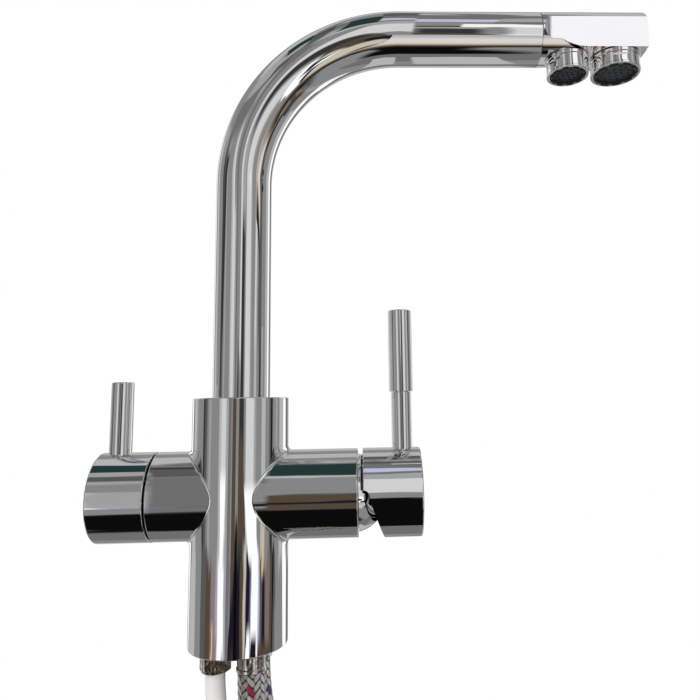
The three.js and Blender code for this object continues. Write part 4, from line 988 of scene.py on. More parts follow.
def studio_view(tree):
    """The colour of the studio in each direction."""

    def in_degrees(operation, *values):
        return maths(tree, "DEGREES", maths(tree, operation, *values))

    def half_bands(rows, low, high):
        return bands(tree, azimuth, rows, low, high)

    direction = placed(tree, "Generated")
    x, y, z = split(tree, direction)
    towards = times(tree, y, -1.0)
    elevation, aside = in_degrees("ARCSINE", z), in_degrees("ARCSINE", x)
    waver = minus(tree, noise(tree, direction, WAVER_SCALE, 2.0), 0.5)
    reach = spread(tree, elevation, *WAVER_RANGE, *AZIMUTH_WAVER)
    azimuth = plus(tree, in_degrees("ARCTAN2", x, towards), times(tree, waver, reach))
    pitch = plus(tree, in_degrees("ARCTAN2", z, towards), times(tree, waver, PITCH_WAVER))
    front, back = (
        bands(tree, elevation, rows, -90.0, 90.0) for rows in (FRONT_RISE, BACK_RISE)
    )
    behind = spread(tree, maths(tree, "ABSOLUTE", azimuth), *SIDE_EDGE)
    steep = blended(tree, behind, front, back)
    on_right = maths(tree, "GREATER_THAN", azimuth, 0.0)
    level, low = (
        blended(tree, on_right, half_bands(left, -180.0, 0.0), half_bands(right, 0.0, 180.0))
        for left, right in ((LEVEL_LEFT, LEVEL_RIGHT), (LOW_LEFT, LOW_RIGHT))
    )
    start = plus(tree, elevation, times(tree, waver, LOW_WAVER))
    round_it = blended(tree, spread(tree, start, *LOW_EDGE, 1.0, 0.0), level, low)
    over = spread(tree, elevation, *ROOF_EDGE)
    under = spread(tree, elevation, *WORKTOP_EDGE, 1.0, 0.0)
    view = blended(tree, maths(tree, "MAXIMUM", over, under), round_it, steep)
    cards = [((azimuth, elevation, *card), tone) for card, tone in CARDS]
    for row, members in LEVEL_CARDS.items():
        for middle, half, tone in members:
            cards.append(((aside, pitch, *row, middle, half, *LEVEL_CARD_EDGES), tone))
    group = bpy.data.node_groups["studio_card"]
    for inputs, tone in cards:
        mask = put(tree, "ShaderNodeGroup", enumerate(inputs), node_tree=group)
        view = blended(tree, mask.outputs["Mask"], view, toned(tone))
    return view


def light_world(scene, settings):
    """A white background, plain light from all round, and the studio in reflections."""
    make_card_group()
    world = bpy.data.worlds.new("studio")
    scene.world = world
    world.use_nodes = True
    tree = world.node_tree
    tree.nodes.clear()
    path = put(tree, "ShaderNodeLightPath").outputs
    studio, plain, white = (
        put(tree, "ShaderNodeBackground", {"Color": tone, "Strength": strength}).outputs[0]
        for tone, strength in (
            (studio_view(tree), 1.0), (PLAIN_WHITE, settings.fill), (PLAIN_WHITE, 1.0),
        )
    )
    lit = put(tree, "ShaderNodeMixShader", {0: path["Is Glossy Ray"], 1: plain, 2: studio})
    whole = put(tree, "ShaderNodeMixShader", {
        0: path["Is Camera Ray"], 1: lit.outputs[0], 2: white,
    })
    put(tree, "ShaderNodeOutputWorld", {"Surface": whole.outputs[0]})


def hang_spout_card():
    """A card close in front of the level run, light over dark, which only reflections see."""
    (left, right), (low, high) = SPOUT_CARD_SIDES, SPOUT_CARD_ENDS
    bm = bmesh.new()
    bmesh.ops.create_grid(bm, x_segments=1, y_segments=1, size=0.5)
    spun(bm, "X", pi / 2)
    bmesh.ops.scale(bm, vec=(right - left, 1, high - low), verts=bm.verts)
    shifted(bm, (left + right) / 2, SPOUT_CARD_PLANE, (low + high) / 2)
    card = new_object("spout_card", bm)
    tree, shader = new_material("spout_card")
    tree.nodes.remove(shader)
    up = ramp(tree, split(tree, placed(tree))["Z"], SPOUT_CARD_FADE, low, high)
    glow = put(tree, "ShaderNodeEmission", {"Color": up, "Strength": 1.0})
    feed(tree, tree.nodes["Material Output"], {"Surface": glow.outputs[0]})
    card.data.materials.append(finish("spout_card"))
    card.visible_camera = False
    card.visible_diffuse = False
    card.visible_shadow = False


# ---- Free pipes ----

SPAN_POINTS = 65
HOSE_SPACING, TUBE_SPACING, LENGTH_SPACING = 0.42 * MM, 1.5 * MM, 2 * MM
HOSE_AROUND, TUBE_AROUND = 96, 64


def smooth_route(route, spacing):
    """Points evenly spaced on the smooth curve through a route."""
    knots = [Vector(point) for point in route]
    knots = [2 * knots[0] - knots[1], *knots, 2 * knots[-1] - knots[-2]]
    dense = []
    for before, start, end, after in zip(knots, knots[1:], knots[2:], knots[3:]):
        lead, own, tail = (
            sqrt((b - a).length) for a, b in ((before, start), (start, end), (end, after))
        )
        leaving = (start - before) / lead - (end - before) / (lead + own) + (end - start) / own
        arriving = (end - start) / own - (after - start) / (own + tail) + (after - end) / tail
        part = interpolate_bezier(
            start, start + leaving * own / 3, end - arriving * own / 3, end, SPAN_POINTS,
        )
        dense += part if not dense else part[1:]
    reach = [0.0]
    for a, b in zip(dense, dense[1:]):
        reach.append(reach[-1] + (b - a).length)
    count = ceil(reach[-1] / spacing)
    points, k = [], 0
    for i in range(count + 1):
        wanted = reach[-1] * i / count
        while k < len(reach) - 2 and reach[k + 1] < wanted:
            k += 1
        points.append(dense[k].lerp(dense[k + 1], (wanted - reach[k]) / (reach[k + 1] - reach[k])))
    return points


def route_length(route):
    points = smooth_route(route, LENGTH_SPACING)
    return sum((b - a).length for a, b in zip(points, points[1:]))


def pipe(points, around, radius_at):
    """A closed tube round a line, with radius_at(u, v) and a UV map of the same u and v."""
    last = len(points) - 1
    frames, side = [], Vector((1, 0, 0))
    for i, point in enumerate(points):
        ahead = (points[min(i + 1, last)] - points[max(i - 1, 0)]).normalized()
        side = (side - ahead * side.dot(ahead)).normalized()
        frames.append((point, side, ahead.cross(side)))
    bm = bmesh.new()
    bm.loops.layers.uv.new("along")
    made = bmesh.ops.create_grid(bm, x_segments=around, y_segments=last, size=0.5, calc_uvs=True)
    for vert in made["verts"]:
        u, v = vert.co.x + 0.5, vert.co.y + 0.5
        point, out, beside = frames[round(v * last)]
        radius = radius_at(u, v)
        vert.co = point + radius * (cos(tau * u) * out + sin(tau * u) * beside)
    bmesh.ops.remove_doubles(bm, verts=bm.verts, dist=WELD)
    rims = [edge for edge in bm.edges if edge.is_boundary]
    bmesh.ops.holes_fill(bm, edges=rims, sides=0)
    bmesh.ops.recalc_face_normals(bm, faces=bm.faces)
    return bm


def weave_height(u, along, strands):
    """The height, 0 to 1, of the upper strand of a braid over two and under two."""
    first, second = strands * u + along, strands * u - along
    heights = []
    for own, other, sign in ((first, second, 1.0), (second, first, -1.0)):
        number = own // 1
        lift = 0.5 * sign * cos((other + number - 1) * pi / 2)
        crown = 1 - (2 * abs(own - number - 0.5)) ** 4
        heights.append(lift + crown)
    return max(0.0, min(1.0, (max(heights) - 0.2) / 1.3))


class TAP_OT_hoses(bpy.types.Operator):
    """Builds the two braided supply hoses"""

    bl_idname = "tap.hoses"
    bl_label = "Braided hoses"

    def execute(self, context):
        sizes = context.scene.tap_pipes
        for name, route in HOSE_ROUTES.items():
            points = smooth_route(route, HOSE_SPACING)
            twist = hose_twist(route, sizes.hose_radius)
            radius, relief, strands = sizes.hose_radius, sizes.braid_relief, sizes.carriers

            def radius_at(u, v):
                return radius - relief * (1 - weave_height(u, twist * v, strands))

            bm = pipe(points, HOSE_AROUND, radius_at)
            hose = piece(f"{name}_hose_braid", bm, "root", "braid", [f"{name}_hose"],
                         crease=80.0, material=f"{name}_braid")
        return {"FINISHED"}


class TAP_OT_supply_tube(bpy.types.Operator):
    """Builds the white tube that brings the water to be filtered"""

    bl_idname = "tap.supply_tube"
    bl_label = "White supply tube"

    def execute(self, context):
        sizes = context.scene.tap_pipes
        points = smooth_route(FILTER_ROUTE, TUBE_SPACING)
        radius = sizes.tube_radius
        bm = pipe(points, TUBE_AROUND, lambda u, v: radius)
        tube = piece("filter_white_tube", bm, "root", "white_tube", ["filter_supply_tube"])
        return {"FINISHED"}


# ---- Body ----

# Steps towards a fillet's centre at most, and how far off its surface a point may lie.
FILLET_TRIES, FILLET_SLACK = 12, 2e-5


def body_rules(sizes):
    """The true surfaces of the casting: the column, the two arms and their fillets."""
    far_column, far_arm = sizes.radius + sizes.fillet, sizes.arm_radius + sizes.fillet

    def fillet(point):
        """Slides along the line of the rolling ball's centres to the one beside the point."""
        side = 1 if point.x > 0 else -1
        height = point.z - sizes.arm_height
        if hypot(point.y, height) < 1e-6:
            return None
        angle = atan2(height, point.y)
        for _ in range(FILLET_TRIES):
            y, z = far_arm * cos(angle), far_arm * sin(angle)
            x = sqrt(far_column ** 2 - y * y)
            offset = point - Vector((side * x, y, z + sizes.arm_height))
            slide = Vector((side * y * z / x, -z, y))
            step = offset.dot(slide) / slide.length_squared
            angle += step
            if abs(step) < 1e-7:
                break
        return -offset.normalized() if abs(offset.length - sizes.fillet) <= FILLET_SLACK else None

    return [
        barrel((0, 0, 1), (0, 0, 0), sizes.radius),
        barrel((1, 0, 0), (0, 0, sizes.arm_height), sizes.arm_radius),
        fillet,
    ]


# Rows of faces across a fillet and along an arm.
FILLET_ROWS, SLEEVE_ROWS = 8, 3
# Radius and floor of the recesses in the ends of the arms.
CHAMBER, CHAMBER_FLOOR = 17.9 * MM, 26.0 * MM
RING_SEAT, RING_FLOOR = 20.6 * MM, 39.2 * MM
VALVE_HEAD, VALVE_HEAD_FLOOR = 14.256 * MM, 35.0 * MM
VALVE_BORE, VALVE_FLOOR = 10.4 * MM, 20.0 * MM


def body_skin(sizes):
    """The column and arms with rolled fillets, and the bores that open in them."""
    bm = bmesh.new()
    radius, arm, ball, level = sizes.radius, sizes.arm_radius, sizes.fillet, sizes.arm_height
    far_column, far_arm = radius + ball, arm + ball
    rows, around = sizes.rows, 2 * sizes.rows

    def saddle(angle):
        y, z = far_arm * cos(angle), far_arm * sin(angle)
        return sqrt(far_column ** 2 - y * y), y, z

    for side in (1, -1):
        def waist(u, v):
            x, y, z = saddle(pi * (v - 0.5))
            near = atan2(abs(y), x)
            angle = near + u * (pi - 2 * near)
            return Vector((radius * cos(angle), side * radius * sin(angle), level + z))

        patch(bm, rows, rows, waist)

        def roll(u, v):
            x, y, z = saddle(tau * u)
            to_column = Vector((-x, -y, 0)).normalized()
            to_arm = Vector((0, -y, -z)).normalized()
            lean = to_column.slerp(to_arm, v)
            spot = Vector((x, y, z)) + ball * lean
            return Vector((side * spot.x, spot.y, spot.z + level))

        patch(bm, around, FILLET_ROWS, roll)
        end = sizes.mixer_arm_end if side > 0 else sizes.filter_arm_end
        end -= 1.3 * sizes.edge

        def sleeve(u, v):
            x, y, z = saddle(tau * u)
            start = Vector((x, arm * cos(tau * u), arm * sin(tau * u)))
            reach = start.x + (end - start.x) * v
            return Vector((side * reach, start.y, start.z + level))

        patch(bm, around, SLEEVE_ROWS, sleeve)
    edge = sizes.edge
    socket_floor = sizes.height - sizes.socket_depth
    top, foot, mixer_end, filter_end = (turned(outline, around, False) for outline in (
        [
            (radius, level + far_arm), (radius, sizes.height, edge),
            (sizes.socket_radius, sizes.height, 0.5 * edge),
            (sizes.socket_radius, socket_floor), (0, socket_floor),
        ],
        [
            (radius, level - far_arm), (radius, 0, edge), (sizes.recess_radius, 0, 0.5 * edge),
            (sizes.recess_radius, sizes.recess_depth), (0, sizes.recess_depth),
        ],
        [
            (arm, sizes.mixer_arm_end - 1.3 * edge), (arm, sizes.mixer_arm_end, edge),
            (CHAMBER, sizes.mixer_arm_end, 0.5 * edge), (CHAMBER, CHAMBER_FLOOR),
            (0, CHAMBER_FLOOR),
        ],
        [
            (arm, sizes.filter_arm_end - 1.3 * edge), (arm, sizes.filter_arm_end, edge),
            (RING_SEAT, sizes.filter_arm_end, 0.2 * edge), (RING_SEAT, RING_FLOOR),
            (VALVE_HEAD, RING_FLOOR), (VALVE_HEAD, VALVE_HEAD_FLOOR),
            (VALVE_BORE, VALVE_HEAD_FLOOR), (VALVE_BORE, VALVE_FLOOR), (0, VALVE_FLOOR),
        ],
    ))
    absorb(bm, top, foot, on_arm(mixer_end, 1, level), on_arm(filter_end, -1, level))
    bmesh.ops.remove_doubles(bm, verts=bm.verts, dist=ON_SURFACE)
    bmesh.ops.dissolve_degenerate(bm, edges=bm.edges, dist=NOTHING)
    bmesh.ops.recalc_face_normals(bm, faces=bm.faces)
    return bm


# Bores in the roof of the recess, in millimetres: x, y, radius, depth, and steps round.
BORES = (
    (8, -8.2, 5, 11, 40), (8, 8.2, 5, 11, 40), (-9.75, -5, 5, 11, 40), (-9.5, 9.5, 3.4, 12, 32),
)
# The hole of the grub screw behind the body, in millimetres: radius, ends and height.
SCREW_HOLE, SCREW_HOLE_ENDS, SCREW_HOLE_HEIGHT = 2.5, (12, 30), 103.4


class TAP_OT_body(bpy.types.Operator):
    """Builds the chromed body casting"""

    bl_idname = "tap.body"
    bl_label = "Body casting"

    def execute(self, context):
        sizes = context.scene.tap_body
        bm = body_skin(sizes)
        open_edges = [edge for edge in bm.edges if not edge.is_manifold]
        if open_edges:
            raise RuntimeError(f"the body's skin has {len(open_edges)} open edges")
        roof = sizes.recess_depth
        bores = [
            shifted(rod(radius * MM, roof - MM, roof + depth * MM, around), x * MM, y * MM, 0)
            for x, y, radius, depth, around in BORES
        ]
        start, end = SCREW_HOLE_ENDS
        screw = along_y(rod(SCREW_HOLE * MM, start * MM, end * MM, 32))
        bores.append(shifted(screw, 0, 0, SCREW_HOLE_HEIGHT * MM))
        bm = cut(bm, *bores)
        piece("body_casting", bm, "root", "chrome", ["tap_body"], body_rules(sizes))
        return {"FINISHED"}


# ---- Spout ----

# Length of the rounding at the seam, and the share of it that each step goes on and in.
SEAM_ROUNDING = 0.25 * MM
SEAM_STEPS = ((0.35, 0.08), (0.65, 0.6))


class TAP_OT_spout(bpy.types.Operator):
    """Bends the spout tube"""

    bl_idname = "tap.spout"
    bl_label = "Spout tube"

    def execute(self, context):
        sizes = context.scene.tap_spout
        bm = bmesh.new()
        for radius, outward in ((sizes.radius, True), (sizes.radius - sizes.wall, False)):
            self.wall(bm, sizes, radius, outward)
        for height, axis in ((sizes.foot, 2), (sizes.seam - sizes.gap, 0)):
            rims = [
                edge for edge in bm.edges
                if edge.is_boundary and all(abs(v.co[axis] - height) < 1e-6 for v in edge.verts)
            ]
            bmesh.ops.bridge_loops(bm, edges=rims)
        bmesh.ops.recalc_face_normals(bm, faces=bm.faces)
        piece("spout_pipe", bm, "spout", "chrome", ["spout_tube"])
        return {"FINISHED"}

    def wall(self, bm, sizes, radius, outward):
        start = Matrix.Translation((0, 0, sizes.foot))
        ring = bmesh.ops.create_circle(bm, segments=144, radius=radius, matrix=start)["verts"]
        edges = list({edge for vert in ring for edge in vert.link_edges})
        bend_start, trim = sizes.axis_height - sizes.bend_radius, SEAM_ROUNDING
        edges = self.onward(bm, edges, (0, 0, bend_start - sizes.foot))
        swept = bmesh.ops.spin(
            bm, geom=edges + list({v for e in edges for v in e.verts}), axis=(0, 1, 0),
            cent=(sizes.bend_radius, 0, bend_start), angle=pi / 2, steps=72,
        )
        edges = of_kind(bmesh.types.BMEdge, swept["geom_last"])
        level = sizes.seam - sizes.gap - sizes.bend_radius
        edges = self.onward(bm, edges, (level - trim, 0, 0))
        if not outward:
            self.onward(bm, edges, (trim, 0, 0))
            return
        for on, inward in SEAM_STEPS:
            edges = self.onward(bm, edges, (on * trim, 0, 0), 1 - inward * trim / radius, sizes)

    def onward(self, bm, edges, step, shrink=1.0, sizes=None):
        """Draws a ring of edges on by a step and returns the new ring."""
        drawn = bmesh.ops.extrude_edge_only(bm, edges=edges)["geom"]
        verts = of_kind(bmesh.types.BMVert, drawn)
        bmesh.ops.translate(bm, verts=verts, vec=step)
        if sizes:
            centre = Matrix.Translation((0, 0, -sizes.axis_height))
            bmesh.ops.scale(bm, verts=verts, vec=(1, shrink, shrink), space=centre)
        return of_kind(bmesh.types.BMEdge, drawn)


# ---- Outlet head and aerators ----

SCOOP_STEPS, EASE_STEPS = 40, 24
# The spigot of the head in the tube and the roof of the sockets, in millimetres.
SPIGOT, SPIGOT_ENDS, SOCKET_TOP = 13, (-8, 1), -4.3


def quarter_ellipse(centre, reach, drop, steps):
    """Points from the left end of an ellipse down to its lowest point."""
    return [
        (centre[0] - reach * cos(pi / 2 * k / steps), centre[1] - drop * sin(pi / 2 * k / steps))
        for k in range(steps + 1)
    ]


def to_side(bm):
    """Stands a prism of (x, height) corners upright."""
    return spun(bm, "X", pi / 2)


def head_blank(sizes, radius):
    """The head without its bores: a round bar and a slab below it, cut flat on three sides."""
    end, edge, half, drop = sizes.length, sizes.edge, sizes.half_width, sizes.floor_drop
    bar = turned([(0, 0), (radius, 0, 0.15 * MM), (radius, end, edge), (0, end)], 144, False)
    centre = (sizes.scoop_start + sizes.scoop_length, sizes.shoulder_rise)
    depth = sizes.shoulder_rise + drop
    slab = quarter_ellipse(centre, sizes.scoop_length, depth, SCOOP_STEPS)
    slab += [
        (end - edge, -drop), (end, -drop + edge),
        (end, sizes.shoulder_rise - edge), (end - edge, sizes.shoulder_rise),
    ]
    sides = to_side(prism(slab, -half, half))
    far = 2 * radius
    place = (sizes.floor_start + end / 2, 0, -drop - radius / 2)
    cutters = [box((end, 2 * far, radius), place)]
    for side in (1, -1):
        outline = [(sizes.rim, far), (sizes.rim, radius)]
        for k in range(1, EASE_STEPS + 1):
            left = (1 - k / EASE_STEPS) ** 2
            x = k / EASE_STEPS * sizes.run_out + left * sizes.rim
            outline.append((x, left * radius + (1 - left) * half))
        outline += [(end + MM, half), (end + MM, far)]
        cutters.append(prism([(x, side * y) for x, y in outline], -far, far))
    return cut(joined(along_x(bar), sides), *cutters)


# How far an aerator's thread lies inside its flange, and the aerators, in millimetres and
# degrees.
THREAD_CUT = 2.7
AERATORS = {
    "main": {"x": 43.9, "radius": 13.8, "drop": 9.5, "flats": -98.0},
    "filter": {"x": 16.6, "radius": 11.75, "drop": 10.5, "flats": -142.0},
}
# Rings of jets: the share of the insert's radius and the number of jets.
JET_RINGS = ((0.0, 1), (0.36, 6), (0.7, 12))


class TAP_OT_head(bpy.types.Operator):
    """Builds the outlet head with its two sockets"""

    bl_idname = "tap.head"
    bl_label = "Outlet head"

    def execute(self, context):
        sizes, spout = context.scene.tap_head, context.scene.tap_spout
        blank = head_blank(sizes, spout.radius)
        start, end = SPIGOT_ENDS
        spigot = along_x(rod(SPIGOT * MM, start * MM, end * MM, 96))
        sockets = []
        for row in AERATORS.values():
            bore = (row["radius"] - THREAD_CUT + 0.3) * MM
            socket = rod(bore, -sizes.floor_drop - MM, SOCKET_TOP * MM, 96)
            sockets.append(shifted(socket, row["x"] * MM, 0, 0))
        bm = cut(joined(blank, spigot), *sockets)
        shifted(bm, spout.seam, 0, spout.axis_height)
        surfaces = [barrel((1, 0, 0), (0, 0, spout.axis_height), spout.radius)]
        piece("outlet_casting", bm, "spout", "chrome", ["outlet_head"], surfaces, 24.0)
        return {"FINISHED"}


class TAP_OT_aerators(bpy.types.Operator):
    """Builds the two aerators with their spanner flats and inserts"""

    bl_idname = "tap.aerators"
    bl_label = "Aerators"

    def execute(self, context):
        head, spout = context.scene.tap_head, context.scene.tap_spout
        for name, row in AERATORS.items():
            place = (spout.seam + row["x"] * MM, 0, spout.axis_height - head.floor_drop)
            radius, drop = row["radius"] * MM, row["drop"] * MM
            housing = self.housing(radius, drop, radians(row["flats"]))
            surfaces = [barrel((0, 0, 1), place, r) for r in (radius - 0.4 * MM, radius)]
            shifted(housing, *place)
            piece(f"{name}_aerator_shell", housing, "spout", "chrome",
                  [f"{name}_aerator_housing"], surfaces)
            insert = shifted(self.insert(radius, drop), *place)
            piece(f"{name}_aerator_jets", insert, "spout", "black_plastic",
                  [f"{name}_aerator_insert"])
        return {"FINISHED"}

    def housing(self, radius, drop, flats_turn):
        thread, skirt = radius - THREAD_CUT * MM, radius - 0.4 * MM
        throat, mouth, edge = thread - 1.6 * MM, radius - 1.9 * MM, 0.35 * MM
        flange = -2.2 * MM
        outline = [(throat, 5 * MM), (thread, 5 * MM, edge)]
        for k in range(5):
            height = (4.2 - 0.9 * k) * MM
            outline += [(thread, height), (thread - 0.45 * MM, height - 0.45 * MM)]
        outline += [
            (thread - 0.45 * MM, -0.3 * MM), (radius, -0.3 * MM, edge), (radius, flange, edge),
            (skirt, flange - 0.4 * MM, 0.1 * MM), (skirt, -drop + 1.5 * MM, 0.1 * MM),
            (radius - 0.15 * MM, -drop + 1.2 * MM, 0.1 * MM), (radius - 0.15 * MM, -drop, edge),
            (mouth, -drop, 0.25 * MM), (mouth, -3 * MM), (throat, -3 * MM),
        ]
        flats = []
        for half in (0, pi):
            middle = (flange - 1.5 * MM - drop + 1.9 * MM) / 2
            place = (skirt - 1.1 * MM + radius / 2, 0, middle)
            flat = box((radius, 11 * MM, drop - 5.6 * MM), place)
            flats.append(spun(flat, "Z", half + flats_turn))
        return cut(turned(outline, 160), *flats)

    def insert(self, radius, drop):
        rim = radius - 2.2 * MM
        inner, foot, plate = rim - 1.4 * MM, -drop - 0.8 * MM, -drop + 1.0 * MM
        cup = turned([
            (0, plate), (inner, plate), (inner, foot, 0.2 * MM), (rim, foot, 0.2 * MM),
            (rim, -3.3 * MM), (0, -3.3 * MM),
        ], 120, False)
        notches = [
            spun(box((3 * rim, 2.6 * MM, 1.6 * MM), (0, 0, foot)), "Z", k * pi / 5 + 0.2)
            for k in range(5)
        ]
        jets = []
        for share_out, count in JET_RINGS:
            for k in range(count):
                jet = rod(0.7 * MM, plate - MM, plate + 1.6 * MM, 12)
                out, angle = share_out * inner, tau * k / count
                jets.append(shifted(jet, out * cos(angle), out * sin(angle), 0))
        return cut(cup, *notches, *jets)


# ---- Handles and levers ----

def skirt_cutter(sizes, level):
    """The shape cut from the lower side of the mixer handle's skirt."""
    start, far = sizes.mixer_start, 2 * sizes.radius
    top, corner, drop, steps = 3.4 * MM, 3.6 * MM, 5.8 * MM, 16
    outline = [(start - MM, top), (start, top)]
    for k in range(1, steps + 1):
        t = k / steps
        x = start + corner * (2 * t * (1 - t) + t * t)
        outline.append((x, top - drop * t * t))
    slope = (top - drop + far) * tan(radians(20))
    outline += [(start + corner + slope, -far), (start - MM, -far)]
    return shifted(to_side(prism(outline, -far, far)), 0, 0, level)


def handle_cup(sizes, side, level, hub, hub_start, bore, floor, start, end, ease):
    """A cup turned about its arm, with a hub on its floor."""
    return on_arm(turned([
        (0, hub_start), (hub, hub_start, 0.3 * MM), (hub, floor), (bore, floor),
        (bore, start, 0.3 * MM), (sizes.radius, start, ease),
        (sizes.radius, end, sizes.edge), (0, end),
    ], 160, False), side, level)


def cross_holes(sizes, level, hub, lever_radius, lever_at, screw_at):
    """The holes of a handle for its lever, on top, and for its screw, below."""
    far = 2 * sizes.radius
    lever = rod(lever_radius + 0.12 * MM, hub, far, 64)
    screw = spun(rod(2.7 * MM, hub + MM, far, 32), "Y", pi)
    return shifted(lever, lever_at, 0, level), shifted(screw, screw_at, 0, level)


ARC_STEPS = 24


def arc(middle, radius, first, last):
    """Points (radius, height) on an arc about a point of the axis."""
    angles = (first + (last - first) * k / ARC_STEPS for k in range(ARC_STEPS + 1))
    return [(radius * cos(angle), middle + radius * sin(angle)) for angle in angles]


class TAP_OT_mixer_handle(bpy.types.Operator):
    """Builds the mixer's handle and the dome that it tilts on"""

    bl_idname = "tap.mixer_handle"
    bl_label = "Mixer handle"

    def execute(self, context):
        sizes, level = context.scene.tap_handles, context.scene.tap_body.arm_height
        radius, end = sizes.radius, sizes.mixer_end
        bore, floor, hub = radius - 1.7 * MM, end - 4.2 * MM, 9.0 * MM
        hub_start, screw_at, key_at = 75 * MM, 80 * MM, 78.9 * MM
        bm = cut(
            handle_cup(
                sizes, 1, level, hub, hub_start, bore, floor, sizes.mixer_start, end, 0.4 * MM,
            ),
            skirt_cutter(sizes, level),
            *cross_holes(sizes, level, hub, sizes.mixer_rod, sizes.mixer_lever_at, screw_at),
            box((9.3 * MM, 8 * MM, 8 * MM), (key_at, 0, level)),
        )
        surfaces = [barrel((1, 0, 0), (0, 0, level), r) for r in (radius, bore)]
        piece("mixer_handle_shell", bm, "mixer_lever", "chrome", ["mixer_handle"], surfaces)
        self.dome(level)
        return {"FINISHED"}

    def dome(self, level):
        pivot, outer, inner, mouth = 55.0, 19.8, 18.3, 12.8
        seat, skirt, lip, foot = 59.9, 17.5, 16.0, 55.3
        outline = in_millimetres(
            (lip, foot), (skirt, foot), (skirt, seat),
            *arc(pivot, outer, asin((seat - pivot) / outer), acos(mouth / outer)),
            *arc(pivot, inner, acos(mouth / inner), acos(lip / inner)),
        )
        bm = on_arm(turned(outline, 144), 1, level)
        piece("mixer_ball_dome", bm, "root", "chrome", ["mixer_dome"])


class TAP_OT_mixer_lever(bpy.types.Operator):
    """Builds the mixer's lever rod and the sleeve on it"""

    bl_idname = "tap.mixer_lever"
    bl_label = "Mixer lever"

    def execute(self, context):
        sizes, level = context.scene.tap_handles, context.scene.tap_body.arm_height
        grip, rod_radius, gap = sizes.grip_radius, sizes.mixer_rod, CLEAR
        inner, rod_foot, rod_end = grip - 1.6 * MM, 9.3 * MM, sizes.grip_end - 3.3 * MM
        stem = turned([
            (0, rod_foot), (rod_radius, rod_foot), (rod_radius, sizes.grip_start - gap, 0.25 * MM),
            (inner - gap, sizes.grip_start - gap), (inner - gap, rod_end), (0, rod_end),
        ], 96, False)
        sleeve = turned([
            (inner, sizes.grip_start), (grip, sizes.grip_start, 0.3 * MM),
            (grip, sizes.grip_end, 0.6 * MM), (0, sizes.grip_end),
            (0, rod_end + gap), (inner, rod_end + gap),
        ], 96)
        for name, bm, node in (
            ("mixer_lever_stem", stem, "mixer_lever_rod"),
            ("mixer_lever_sleeve", sleeve, "mixer_lever_grip"),
        ):
            shifted(bm, sizes.mixer_lever_at, 0, level)
            piece(name, bm, "mixer_lever", "chrome", [node])
        return {"FINISHED"}


class TAP_OT_filter_handle(bpy.types.Operator):
    """Builds the filtered water handle, its lever and the ring behind it"""

    bl_idname = "tap.filter_handle"
    bl_label = "Filtered water handle"

    def execute(self, context):
        sizes, level = context.scene.tap_handles, context.scene.tap_body.arm_height
        radius, end = sizes.radius, sizes.filter_end
        bore, floor, hub = radius - 2 * MM, end - 5 * MM, 8 * MM
        hub_start, screw_at = 47 * MM, 52.5 * MM
        spindle = on_arm(rod(4.5 * MM, 46 * MM, 58.3 * MM, 48), -1, level)
        bm = cut(
            handle_cup(
                sizes, -1, level, hub, hub_start, bore, floor, sizes.filter_start, end, 0.5 * MM,
            ),
            *cross_holes(sizes, level, hub, sizes.filter_rod, -sizes.filter_lever_at, -screw_at),
            spindle,
        )
        surfaces = [barrel((1, 0, 0), (0, 0, level), r) for r in (radius, bore)]
        piece("filter_handle_shell", bm, "filter_lever", "chrome", ["filter_handle"], surfaces)
        lever = turned([
            (0, hub + CLEAR), (sizes.filter_rod, hub + CLEAR),
            (sizes.filter_rod, sizes.filter_rod_end, 0.6 * MM), (0, sizes.filter_rod_end),
        ], 96, False)
        shifted(lever, -sizes.filter_lever_at, 0, level)
        piece("filter_lever_stem", lever, "filter_lever", "chrome", ["filter_lever_rod"])
        ring = on_arm(turned(in_millimetres(
            (15.2, 39.5), (20.3, 39.5), (20.3, 41.5, 0.2), (15.2, 41.5, 0.2),
        ), 128), -1, level)
        piece("filter_slide_ring", ring, "root", "black_plastic", ["filter_glide_ring"])
        return {"FINISHED"}


# ---- Fittings under the tap ----

def hexagon(across_flats):
    reach = across_flats / sqrt(3)
    return [(reach * cos(pi / 3 * k), reach * sin(pi / 3 * k)) for k in range(6)]


def chamfered_hex(across_flats, foot, top):
    """A hexagon whose corners are turned off at both ends."""
    reach = across_flats / sqrt(3)
    low, drop = across_flats / 2 * 0.985, (reach - across_flats / 2) * tan(radians(30)) * 1.2
    wide = reach + 1e-5
    outline = [
        (0, foot), (low, foot), (wide, foot + drop), (wide, top - drop), (low, top), (0, top),
    ]
    blank = prism(hexagon(across_flats), foot, top)
    return combined(blank, "INTERSECT", turned(outline, 96, False))


def threaded_tail(across_flats, foot, *more):
    """A hexagon with a threaded neck above it, and what else is joined to it."""
    neck = rod(4.7 * MM, 8 * MM, 19.7 * MM, 48, 0.4 * MM)
    return joined(chamfered_hex(across_flats, foot, 8.7 * MM), neck, *more)


def fitting(bm, place, body, slot, node, name=None):
    """A piece set at the end of a pipe, which has its CAD node's name if none is given."""
    piece(name or f"{node}_piece", shifted(bm, *place), body, slot, [node])


CRIMPS, CRIMP_DEPTH = 8, 0.35 * MM
# The union nuts' thread: radius at its mouth, crest and root, pitch and turns.
NUT_MOUTH, NUT_CREST, NUT_ROOT = 10.6 * MM, 10.2 * MM, 10.75 * MM
NUT_PITCH, NUT_TURNS = 1.4, 7


def hung_from(level, *corners):
    """Corners (radius, height[, corner radius]) in millimetres, put at a level, in metres."""
    return [(radius, level + up, *ease) for radius, up, *ease in in_millimetres(*corners)]


